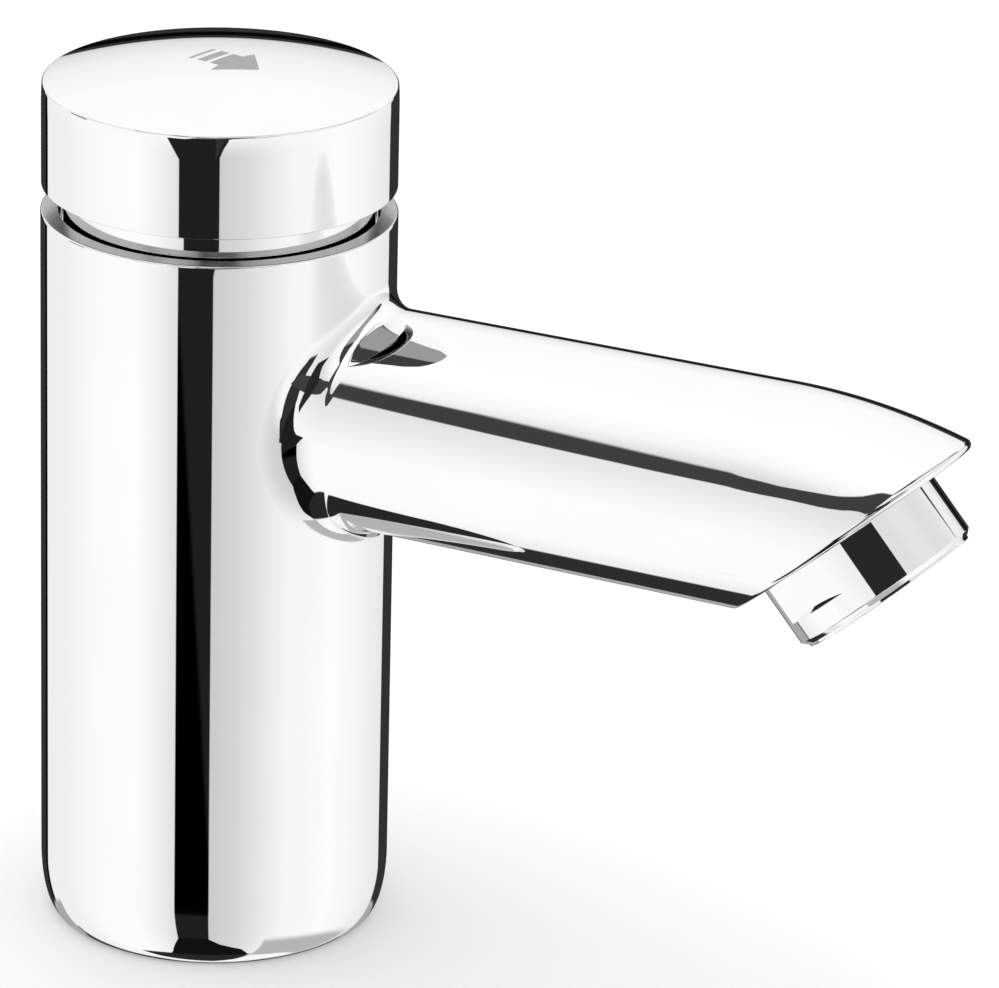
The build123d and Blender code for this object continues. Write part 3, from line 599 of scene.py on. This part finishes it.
def aerator_grids(sizes, outlet):
    """Skin of the aerator's housing: a turned form whose radius is cut to flat / |cos a| where a, the
    angle from the wrench flats' line, is small."""
    half = np.arccos(sizes.flat / sizes.radius)
    near = line(-half, half, sizes.steps)
    far = line(half, np.pi - half, sizes.steps)
    off_flat = np.concatenate([near, far[1:], near[1:] + np.pi, far[1:] + np.pi])
    bearings = off_flat + np.pi / 2 + sizes.flat_turn
    lip_radius = sizes.radius - sizes.lip_step
    flange = sizes.height - sizes.lip_height
    floor = sizes.height - sizes.floor_height
    flank = [
        (sizes.radius, sizes.flat_height), (sizes.radius, flange - sizes.chamfer),
        (sizes.radius - sizes.chamfer, flange),
    ]
    steps = stepped(
        [lip_radius, sizes.mouth, sizes.bore, sizes.thread_radius],
        [flange, sizes.height, floor, -sizes.thread_height, 0],
    )
    ball = sizes.edge_break
    shared = softened(np.concatenate([flank, steps]), [ball * 2, ball * 2, 0, ball, ball, 0, 0, 0, 0])
    flat_radius = np.minimum(sizes.radius, sizes.flat / np.maximum(np.abs(np.cos(off_flat)), 1e-6))
    x, y = np.sin(bearings), -np.cos(bearings)
    ledge = sizes.flat_height - (sizes.radius - flat_radius) * np.tan(sizes.ledge_lean)
    band = [
        (sizes.thread_radius, 0.0), (flat_radius, 0.0), (flat_radius, ledge),
        (sizes.radius, sizes.flat_height),
    ]
    wall = np.stack([joined(x * radius, y * radius, height) for radius, height in band], axis=1)
    return [outlet.place(wall), outlet.place(turned(shared, bearings))]


def spring_grids(sizes):
    """Round wire on a helix: middle (R cos a, R sin a, z rising evenly), section across the path, and
    flat ends closed to a point."""
    turn = line(0, sizes.turns * 2 * np.pi, sizes.turns * sizes.steps)
    rise = (sizes.top - sizes.bottom) / (sizes.turns * 2 * np.pi)
    centre = joined(sizes.radius * np.cos(turn), sizes.radius * np.sin(turn), sizes.bottom + rise * turn)
    radial = joined(np.cos(turn), np.sin(turn), 0.0)
    tangent = joined(-sizes.radius * np.sin(turn), sizes.radius * np.cos(turn), rise)
    tangent /= np.linalg.norm(tangent, axis=-1, keepdims=True)
    across = np.cross(tangent, radial)
    section = line(0, 2 * np.pi, sizes.sides)[:, None, None]
    wire = centre + sizes.wire * (np.cos(section) * radial + np.sin(section) * across)
    start = np.broadcast_to(centre[0], wire[:, :1].shape)
    end = np.broadcast_to(centre[-1], wire[:, -1:].shape)
    return [np.concatenate([start, wire, end], axis=1)]


def mark_grids(marks, cap):
    """Thin plates on the dome: each patch is a grid from one run of corners to another, the arrow's
    from its outline to its tip. Its upper skin is the print's height over the sphere and its lower skin
    inside the cap."""
    sphere = (cap.radius ** 2 + cap.dome ** 2) / (2 * cap.dome)
    top = cap.bottom + cap.side + cap.dome
    forward = np.array([np.sin(marks.turn), -np.cos(marks.turn)])
    across = np.array([np.cos(marks.turn), np.sin(marks.turn)])
    shaft, notch = marks.shaft_half, marks.notch
    arrow = [
        (marks.barb, -marks.barb_half), (notch, -shaft), (marks.shaft_end, -shaft),
        (marks.shaft_end, shaft), (notch, shaft), (marks.barb, marks.barb_half),
    ]
    patches = [(arrow, [(marks.tip, 0.0)] * len(arrow))]
    for end, start in (marks.wide_end, marks.wide_start), (marks.thin_end, marks.thin_start):
        patches.append(([(end, -shaft), (end, shaft)], [(start, -shaft), (start, shaft)]))
    grids = []
    for runs in patches:
        corner = np.arange(len(runs[0]))
        u = line(0, corner[-1], MARK_STEPS * corner[-1])
        near, far = (joined(*(np.interp(u, corner, part) for part in np.transpose(run))) for run in runs)
        v = line(0, 1, MARK_STEPS)[:, None]
        flat = near[:, None] * (1 - v) + far[:, None] * v
        plan = flat[..., :1] * forward + flat[..., 1:] * across
        level = top - sphere + np.sqrt(sphere ** 2 - np.sum(plan ** 2, axis=-1))
        upper = np.concatenate([plan, (level + marks.height)[..., None]], axis=-1)
        lower = np.concatenate([plan, (level - marks.depth)[..., None]], axis=-1)
        grids += [upper[::-1], lower]
        for edge in (0, -1):
            grids.append(np.stack([upper[:, edge], lower[:, edge]], axis=0 if edge else 1))
            grids.append(np.stack([upper[edge], lower[edge]], axis=1 if edge else 0))
    return grids


def wired(tree, kind, inputs, **settings):
    """New node with its settings, whose inputs, by name or place, hold values or are linked to outputs."""
    node = tree.nodes.new(kind)
    for key, value in settings.items():
        setattr(node, key, value)
    for key, value in inputs.items():
        if isinstance(value, bpy.types.NodeSocket):
            tree.links.new(value, node.inputs[key])
        else:
            node.inputs[key].default_value = value
    return node


class Finish:
    """Node builder for one procedural material: a principled shader with noise in its roughness and its
    bump, on object coordinates."""

    def __init__(self, name, base, metallic, roughness, specular):
        self.material = bpy.data.materials.new(name + "_finish")
        self.material.use_nodes = True
        self.tree = self.material.node_tree
        self.shader = self.tree.nodes["Principled BSDF"]
        self.shader.inputs["Base Color"].default_value = (*base, 1)
        self.shader.inputs["Metallic"].default_value = metallic
        self.shader.inputs["Roughness"].default_value = roughness
        self.shader.inputs["Specular IOR Level"].default_value = specular
        self.place = self.tree.nodes.new("ShaderNodeTexCoord").outputs["Object"]

    def feed(self, name, value):
        """Link an output to one input of the shader."""
        self.tree.links.new(value, self.shader.inputs[name])

    def noise(self, scale, detail, stretch=(1, 1, 1)):
        """Noise on stretched object coordinates, its scale in features a metre."""
        mapping = wired(self.tree, "ShaderNodeMapping", {"Vector": self.place, "Scale": stretch})
        inputs = {"Vector": mapping.outputs["Vector"], "Scale": scale, "Detail": detail}
        return wired(self.tree, "ShaderNodeTexNoise", inputs).outputs["Fac"]

    def between(self, value, low, high):
        """Value from 0 to 1 as a value from low to high."""
        inputs = {"Value": value, "To Min": low, "To Max": high}
        return wired(self.tree, "ShaderNodeMapRange", inputs).outputs["Result"]

    def tint(self, value, first, second):
        """Base colour that drifts between two colours."""
        ramp = wired(self.tree, "ShaderNodeValToRGB", {"Fac": value})
        for stop, position, shown in zip(ramp.color_ramp.elements, TINT_STOPS, (first, second)):
            stop.position = position
            stop.color = (*shown, 1)
        self.feed("Base Color", ramp.outputs["Color"])

    def roughness(self, value, low, high):
        """Roughness that follows a pattern."""
        self.feed("Roughness", self.between(value, low, high))

    def bump(self, value, height):
        """Bump of a real height in metres."""
        inputs = {"Height": value, "Strength": 1.0, "Distance": height}
        self.feed("Normal", wired(self.tree, "ShaderNodeBump", inputs).outputs["Normal"])

    def at_height(self, height, reach):
        """Mask that is 1 where the object's z lies within reach of a height, in metres."""
        parts = wired(self.tree, "ShaderNodeSeparateXYZ", {0: self.place})
        inputs = {0: parts.outputs["Z"], 1: height, 2: reach}
        return wired(self.tree, "ShaderNodeMath", inputs, operation="COMPARE").outputs[0]

    def within(self, mask, name, pattern):
        """Another pattern, or a plain colour, for one input of the shader inside a mask."""
        target = self.shader.inputs[name]
        kind = target.type.replace("VALUE", "FLOAT")
        node = wired(self.tree, "ShaderNodeMix", {}, data_type=kind)
        factor, first, second = [socket for socket in node.inputs if socket.enabled]
        self.tree.links.new(mask, factor)
        self.tree.links.new(target.links[0].from_socket, first)
        if isinstance(pattern, tuple):
            second.default_value = pattern
        else:
            self.tree.links.new(pattern, second)
        self.feed(name, [socket for socket in node.outputs if socket.enabled][0])


# Each finish: colour, metallic and specular level, the grain's noise (features a metre, detail, stretch)
# with the roughness and the bump height in metres that follow it, and the noise and factors of the tint.
# Chrome's bump has a noise of its own, its waves, and the casting's rim its own grain and roughness.
CHROME = dict(
    colour="chrome", metallic=1.0, grain=(160, 3), roughness=(0.0, 0.03), waves=(110, 2), bump=0.0000002,
    drift=(60, 2), tints=(0.985, 1),
)
FINISHES = {
    # bright plate over polished brass, with faint polishing waves
    "chrome_plate": CHROME,
    # the same on the casting, whose rim is bare machined metal
    "cast_chrome": dict(CHROME, rim_grain=(900, 4), rim_roughness=(0.2, 0.4)),
    # turned brass with fine tool rings and slight tarnish
    "bare_brass": dict(
        colour="brass", metallic=1.0, grain=(90, 3, (1, 1, 40)), roughness=(0.2, 0.42), bump=0.000012,
        drift=(220, 5), tints=(0.82, 1),
    ),
    # moulded rubber with a dusty, slightly grained skin
    "black_rubber": dict(
        colour="rubber", specular=0.35, grain=(2600, 4), roughness=(0.5, 0.72), bump=0.00001,
        drift=(300, 4), tints=(1, 1.7),
    ),
    # drawn steel with fine lengthwise lines
    "stainless_steel": dict(
        colour="steel", metallic=1.0, grain=(700, 3, (1, 1, 0.08)), roughness=(0.16, 0.34), bump=0.000004,
        drift=(240, 3), tints=(0.9, 1),
    ),
    # satin, very finely pitted plastics
    "white_acetal": dict(
        colour="white", grain=(1900, 3), roughness=(0.32, 0.46), bump=0.000006,
        drift=(150, 2), tints=(0.965, 1),
    ),
    "grey_acetal": dict(
        colour="grey", grain=(2100, 3), roughness=(0.36, 0.5), bump=0.000006,
        drift=(180, 2), tints=(0.9, 1.08),
    ),
    # matt ink, a little uneven where it lies on the chrome
    "print_ink": dict(
        colour="print_grey", specular=0.3, grain=(3200, 4), roughness=(0.48, 0.66), bump=0.000003,
        drift=(500, 4), tints=(0.93, 1.07),
    ),
}


def shade(base, factor):
    """Colour scaled by a factor."""
    return [min(1.0, channel * factor) for channel in base]


def finish_of(name):
    """Material of that name, made on first use."""
    made = bpy.data.materials.get(name + "_finish")
    if made:
        return made
    colours, look = bpy.context.scene.tap_colours, FINISHES[name]
    base = getattr(colours, look["colour"])
    finish = Finish(name, base, look.get("metallic", 0.0), look["roughness"][1], look.get("specular", 0.5))
    grain = finish.noise(*look["grain"])
    finish.roughness(grain, *look["roughness"])
    finish.tint(finish.noise(*look["drift"]), *(shade(base, factor) for factor in look["tints"]))
    if "rim_grain" in look:
        rim = finish.at_height(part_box("tap_body")[1][2], RIM_REACH)
        rough = finish.between(finish.noise(*look["rim_grain"]), *look["rim_roughness"])
        finish.within(rim, "Roughness", rough)
        finish.within(rim, "Base Color", (*colours.machined, 1))
    finish.bump(finish.noise(*look["waves"]) if "waves" in look else grain, look["bump"])
    return finish.material


def stage_material(settings):
    """Pale, quite matt floor with a faint unevenness."""
    finish = Finish("pale_floor", settings.floor_colour, metallic=0.0, roughness=0.9, specular=0.1)
    drift = finish.noise(scale=3, detail=2)
    finish.tint(drift, shade(settings.floor_colour, 0.995), settings.floor_colour)
    return finish.material


class Surroundings:
    """Node builder for the world: a soft white tent with dark cards, seen in the chrome alone. Places
    in it are bearings in degrees, from -Y towards +X, and heights in degrees above the horizon."""

    def __init__(self, settings):
        self.world = bpy.data.worlds.new("soft_studio")
        self.world.use_nodes = True
        self.tree = self.world.node_tree
        self.tree.nodes.clear()
        self.settings = settings
        direction = self.tree.nodes.new("ShaderNodeTexCoord").outputs["Generated"]
        parts = wired(self.tree, "ShaderNodeSeparateXYZ", {0: direction})
        minus_y = self.maths("MULTIPLY", parts.outputs["Y"], -1.0)
        turn = self.maths("DEGREES", self.maths("ARCTAN2", parts.outputs["X"], minus_y))
        self.bearing = self.maths("WRAP", turn, 360.0, 0.0)
        self.height = self.maths("DEGREES", self.maths("ARCSINE", parts.outputs["Z"]))
        # brightness of all that is laid so far
        self.level = 1.0

    def maths(self, operation, *values):
        """One calculation on numbers or node outputs."""
        return wired(self.tree, "ShaderNodeMath", dict(enumerate(values)), operation=operation).outputs[0]

    def past(self, gap, softness):
        """Smooth step from 0 to 1 as the gap passes 0."""
        inputs = {"Value": gap, "From Min": -softness / 2, "From Max": softness / 2}
        node = wired(self.tree, "ShaderNodeMapRange", inputs, interpolation_type="SMOOTHSTEP")
        return node.outputs["Result"]

    def curve(self, value, points):
        """Value read off straight runs between (place, result) points."""
        places, results = np.array(points, float).T
        ends = {"Value": value, "From Min": places[0], "From Max": places[-1]}
        spread = wired(self.tree, "ShaderNodeMapRange", ends)
        node = wired(self.tree, "ShaderNodeFloatCurve", {"Value": spread.outputs["Result"]})
        low, high = results.min(), max(results.max(), results.min() + 1e-6)
        line = node.mapping.curves[0]
        shares = (places - places[0]) / (places[-1] - places[0])
        heights = (results - low) / (high - low)
        for point, share, height in zip(line.points, shares[[0, -1]], heights[[0, -1]]):
            point.location = (share, height)
        for share, height in zip(shares[1:-1], heights[1:-1]):
            line.points.new(share, height)
        for point in line.points:
            point.handle_type = "VECTOR"
        node.mapping.update()
        return self.maths("MULTIPLY_ADD", node.outputs["Value"], float(high - low), float(low))

    def across(self, *points):
        """Curve over the bearing, through (bearing, result) points."""
        return self.curve(self.bearing, points)

    def up(self, *points):
        """Curve over the height, through (height, result) points."""
        return self.curve(self.height, points)

    def card(self, brightness, left, right, low, high, soft=(1.0, 1.0, 2.0, 2.0)):
        """Lay a card over what is there. Its brightness and its edges are numbers or curves, and soft
        holds the widths over which its left, right, lower and upper edges fade."""
        gaps = (
            self.maths("SUBTRACT", self.bearing, left),
            self.maths("SUBTRACT", right, self.bearing),
            self.maths("SUBTRACT", self.height, low),
            self.maths("SUBTRACT", high, self.height),
        )
        inside = 1.0
        for gap, softness in zip(gaps, soft):
            inside = self.maths("MULTIPLY", self.past(gap, softness), inside)
        gain = self.maths("SUBTRACT", brightness, self.level)
        self.level = self.maths("MULTIPLY_ADD", gain, inside, self.level)

    def finish(self):
        """World output: camera rays and dull surfaces see plain white, mirrors see the tent."""
        tree, settings = self.tree, self.settings
        shown = self.maths("MULTIPLY", self.level, settings.sky_strength)
        mirror = wired(tree, "ShaderNodeBackground", {"Strength": shown})
        plain = wired(tree, "ShaderNodeBackground", {"Strength": settings.fill_strength})
        glossy = tree.nodes.new("ShaderNodeLightPath").outputs["Is Glossy Ray"]
        shaders = {"Fac": glossy, 1: plain.outputs[0], 2: mirror.outputs[0]}
        choose = wired(tree, "ShaderNodeMixShader", shaders)
        wired(tree, "ShaderNodeOutputWorld", {"Surface": choose.outputs[0]})
        return self.world


def tent(world):
    """Set the tent's brightness by bearing and height, in degrees: white walls that dim gently to each
    side, then dark cards, each laid over those before it."""
    across, up, card = world.across, world.up, world.card
    # walls: by height, then by bearing below -14 degrees, and by height again behind the tap
    world.level = up(
        (-90, 0.80), (-60, 0.82), (-40, 0.90), (-22, 0.98), (-6, 0.93), (16, 0.81), (36, 0.73), (48, 0.93),
        (60, 1.0), (90, 1.0),
    )
    around = across(
        (0, 0.93), (20, 0.98), (45, 0.915), (80, 0.79), (152, 0.85), (185, 0.87), (212, 0.965), (245, 0.98),
        (262, 0.86), (276, 0.70), (296, 0.60), (314, 0.68), (330, 0.80), (345, 0.91), (360, 0.93),
    )
    card(around, -10, 370, -90, -14, (1, 1, 2, 8))
    behind = up((-90, 0.8), (3, 0.64), (7, 0.76), (14, 0.87), (28, 0.97), (90, 1.0))
    card(behind, 60, 175, -5, 95, (30, 30, 2, 2))
    # dark opening behind the tap and, below it, dark ground with a grey strip
    horizon = across((60, 12), (84, 11), (103, 9.5), (109, 6.5), (113, 3.4), (160, 3.2))
    card(0.03, 80.5, 152, -31, horizon, (1, 0.8, 2, 1))
    card(0.002, 80.5, 152, -4, 0.8, (1, 1, 1, 1))
    card(0.001, 147, 152, -31, 3.2)
    card(0.025, 80.5, 168, -72, -41, (1, 7, 5, 2))
    card(0.38, 80.5, 164, -45, -31, (1, 1, 1.5, 2))
    # small card that the aerator's ledge shows
    card(0.02, 190, 205, -13, 2, (1, 1, 1, 1))
    # black upright card before the tap, which widens towards its slanted top
    slot_left = up((-22, 272.4), (-18.4, 272.4), (-13, 265), (-11, 265))
    slot_right = up(
        (-22, 295), (-19.5, 295), (-19.3, 298.5), (-17.5, 298.5), (-15, 301), (-13, 304), (-11, 304),
    )
    slot_top = across((262, -12.3), (276, -12.3), (280, -10.5), (291, -1.5), (302, 6))
    card(0.013, slot_left, slot_right, -95, slot_top, (0.8, 0.8, 2, 0.8))
    card(0.0, 272.4, 295, -26, across((270, -19.2), (296, -24.6)), (1, 1, 2, 0.8))
    # its foot, which spreads out below, and grey ground ahead of the spout
    card(0.02, 222, 335, -95, -60, (6, 6, 2, 2))
    foot_left = up((-70, 246), (-56, 262), (-47, 268), (-41, 272.4))
    foot_right = up((-62, 334), (-52, 322), (-46, 304), (-41, 295))
    card(0.006, foot_left, foot_right, -62, -40.5, (0.8, 0.8, 2, 0.8))
    card(0.46, 337, 370, -64, -43, (3, 1, 2, 6))
    card(0.46, -10, 70, -64, -43, (1, 20, 2, 6))
    # three strips that run on from the upright card, seen in the joint's fillet
    tail_low = across(
        (290, -19), (296, -18), (300, -14), (306, -10), (310, -8), (318, -4.5), (327, 0), (333, 3), (347, 3),
    )
    tail_high = across(
        (290, -2), (295, 2), (300, 5), (306, 8), (313, 10), (320, 12), (327, 14), (336, 13), (347, 6),
    )
    card(0.03, 296, 337, tail_low, tail_high, (1, 5, 0.8, 1))
    ramp_low = across(
        (250, 33), (252, 32), (256, 30), (260, 36), (265, 36), (269, 27), (282, 19.5), (296, 11), (310, 2.5),
        (330, -12),
    )
    ramp_high = across(
        (250, 34), (252, 36), (256, 41), (271, 41), (292, 33), (305, 23.5), (318, 8), (329, -2), (335, -8),
    )
    card(0.047, 250, 321, ramp_low, ramp_high, (1, 1, 0.8, 0.8))
    front_low = across((283, 0), (289, 3), (295, 11), (304, 16), (313, 20), (323, 24))
    front_high = across((283, 16), (289, 30), (300, 32), (312, 34), (323, 40))
    card(0.02, 283.6, 322, front_low, front_high, (0.8, 0.8, 0.8, 0.8))
    # folded card overhead, grey ahead of the spout and dark all round else
    fold_low = across(
        (0, 60), (14, 57), (25, 52), (40, 42), (50, 30), (60, 20), (225, 55), (236, 36), (241, 27.6),
        (243.4, 24), (245.3, 21.4), (247, 20.8), (248.8, 21.3), (252.7, 24.6), (255, 26.7), (257.2, 30.5),
        (260.1, 37.5), (264, 40), (269, 41), (272, 61), (345, 61), (360, 60),
    )
    fold_high = across(
        (0, 84), (16, 80), (47, 57), (60, 35), (66, 15), (225, 50), (235.3, 41.4), (236.5, 40.8),
        (239.4, 37.5), (242.1, 34.2), (244, 32.7), (249, 33.3), (251.6, 35.3), (254.2, 37.8), (256.8, 42.5),
        (259.9, 49.5), (263.8, 60.5), (278, 72), (300, 80), (360, 84),
    )
    depth = across((0, 0.33), (46, 0.33), (56, 0.047), (326, 0.047), (331, 0.33), (360, 0.33))
    card(depth, -10, 370, fold_low, fold_high, (1, 1, 0.8, 1.5))


class TAP_OT_body(bpy.types.Operator):
    """Build the pillar and the spout as one casting"""

    bl_idname = "tap.body"
    bl_label = "Body and spout"

    def execute(self, context):
        sizes = context.scene.tap_body
        grids = pillar_grids(sizes) + [spout_grid(sizes)]
        piece("body_casting", grids, "cast_chrome", FIXED_BODY, ["tap_body"])
        return {"FINISHED"}


class TAP_OT_cap(bpy.types.Operator):
    """Build the domed press cap"""

    bl_idname = "tap.cap"
    bl_label = "Press cap"

    def execute(self, context):
        grids = cap_grids(context.scene.tap_cap)
        piece("press_cap_shell", grids, "chrome_plate", MOVING_BODY, ["push_cap"])
        return {"FINISHED"}


class TAP_OT_mark(bpy.types.Operator):
    """Print the plain arrow on the press cap"""

    bl_idname = "tap.mark"
    bl_label = "Arrow mark"

    def execute(self, context):
        grids = mark_grids(context.scene.tap_mark, context.scene.tap_cap)
        piece("press_mark", grids, "print_ink", MOVING_BODY)
        return {"FINISHED"}


class TAP_OT_collar(bpy.types.Operator):
    """Build the guide collar"""

    bl_idname = "tap.collar"
    bl_label = "Guide collar"

    def execute(self, context):
        grids = collar_grids(context.scene.tap_collar)
        piece("collar_sleeve", grids, "chrome_plate", FIXED_BODY, ["guide_collar"])
        return {"FINISHED"}


class TAP_OT_aerator(bpy.types.Operator):
    """Build the aerator's housing"""

    bl_idname = "tap.aerator"
    bl_label = "Aerator housing"

    def execute(self, context):
        grids = aerator_grids(context.scene.tap_aerator, Outlet(context.scene.tap_body))
        piece("aerator_sleeve", grids, "chrome_plate", FIXED_BODY, ["aerator_housing"])
        return {"FINISHED"}


class TAP_OT_spring(bpy.types.Operator):
    """Build the return spring"""

    bl_idname = "tap.spring"
    bl_label = "Return spring"

    def execute(self, context):
        sizes = context.scene.tap_spring
        grids = spring_grids(sizes)
        spring = piece(
            "spring_wire", grids, "stainless_steel", FIXED_BODY, ["return_spring"]
        )
        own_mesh(spring)
        return {"FINISHED"}


class TAP_OT_inner_parts(bpy.types.Operator):
    """Give each part of the frame that stays its own finish"""

    bl_idname = "tap.inner_parts"
    bl_label = "Inner parts"

    def execute(self, context):
        for part in frame["record"]["subparts"]:
            node = frame["nodes"][part["node"]]
            node.data.materials.clear()
            node.data.materials.append(finish_of(part["material_slot"]))
        return {"FINISHED"}


class TAP_OT_stage(bpy.types.Operator):
    """Lay the pale floor and set the soft light and the camera"""

    bl_idname = "tap.stage"
    bl_label = "Stage"

    def execute(self, context):
        settings = context.scene.tap_stage
        self.floor(settings)
        self.light(context, settings)
        self.camera(context, settings)
        return {"FINISHED"}

    def floor(self, settings):
        """Round pale floor, a whisker under the foot."""
        ring = line(0, 2 * np.pi, FLOOR_STEPS)[:-1]
        x, y = settings.floor_radius * np.cos(ring), settings.floor_radius * np.sin(ring)
        corners = joined(x, y, -settings.floor_drop)
        mesh = bpy.data.meshes.new("floor")
        mesh.from_pydata(corners.tolist(), [], [list(range(FLOOR_STEPS))])
        mesh.materials.append(stage_material(settings))
        floor = bpy.data.objects.new("floor", mesh)
        bpy.context.scene.collection.objects.link(floor)
        floor.visible_glossy = False

    def light(self, context, settings):
        """Soft white surroundings and one large soft light from above."""
        world = Surroundings(settings)
        tent(world)
        context.scene.world = world.finish()
        lamp = bpy.data.lights.new("soft_light", "AREA")
        lamp.energy = settings.glow_power
        lamp.size = settings.glow_size
        holder = bpy.data.objects.new("soft_light", lamp)
        holder.location = (0, 0, settings.glow_height)
        holder.visible_glossy = False
        context.scene.collection.objects.link(holder)
        context.scene.view_settings.view_transform = "Standard"

    def camera(self, context, settings):
        """Camera on its bearing, looking at the target, turned by the roll."""
        a, e, roll = settings.azimuth, settings.elevation, settings.roll
        back = Vector((np.sin(a) * np.cos(e), -np.cos(a) * np.cos(e), np.sin(e)))
        right = Vector((np.cos(a), np.sin(a), 0))
        up = back.cross(right)
        turned_right = np.cos(roll) * right + np.sin(roll) * up
        turned_up = -np.sin(roll) * right + np.cos(roll) * up
        target = Vector((0, 0, settings.target_height)) + right * settings.target_side
        lens = bpy.data.cameras.new("camera")
        lens.sensor_width = settings.sensor / MM
        lens.lens = lens.sensor_width * settings.focal_share
        lens.clip_start, lens.clip_end = (settings.distance * part for part in CLIP_SHARES)
        camera = bpy.data.objects.new("camera", lens)
        turn = Matrix((turned_right, turned_up, back)).transposed()
        camera.matrix_world = Matrix.Translation(target + back * settings.distance) @ turn.to_4x4()
        context.scene.collection.objects.link(camera)
        context.scene.camera = camera


class TAP_PT_panel(bpy.types.Panel):
    """Sidebar panel that builds the tap piece by piece"""

    bl_idname = "TAP_PT_panel"
    bl_label = "Push timed tap"
    bl_space_type = "VIEW_3D"
    bl_region_type = "UI"
    bl_category = "Tap"

    def draw(self, context):
        for operator in OPERATORS:
            self.layout.operator(operator.bl_idname)


SETTINGS = {
    "tap_body": BodySizes,
    "tap_cap": CapSizes,
    "tap_collar": CollarSizes,
    "tap_aerator": AeratorSizes,
    "tap_spring": SpringSizes,
    "tap_mark": MarkSizes,
    "tap_stage": StageSettings,
    "tap_colours": FinishColours,
}
OPERATORS = [
    TAP_OT_inner_parts,
    TAP_OT_body,
    TAP_OT_cap,
    TAP_OT_mark,
    TAP_OT_collar,
    TAP_OT_aerator,
    TAP_OT_spring,
    TAP_OT_stage,
]


def register():
    for name, group in SETTINGS.items():
        bpy.utils.register_class(group)
        setattr(bpy.types.Scene, name, PointerProperty(type=group))
    for operator in OPERATORS:
        bpy.utils.register_class(operator)
    bpy.utils.register_class(TAP_PT_panel)


def unregister():
    bpy.utils.unregister_class(TAP_PT_panel)
    for operator in reversed(OPERATORS):
        bpy.utils.unregister_class(operator)
    for name, group in reversed(SETTINGS.items()):
        delattr(bpy.types.Scene, name)
        bpy.utils.unregister_class(group)


def main():
    """Build every piece in order."""
    register()
    bpy.ops.tap.inner_parts()
    bpy.ops.tap.body()
    bpy.ops.tap.cap()
    bpy.ops.tap.mark()
    bpy.ops.tap.collar()
    bpy.ops.tap.aerator()
    bpy.ops.tap.spring()
    bpy.ops.tap.stage()


if __name__ == "__main__":
    main()
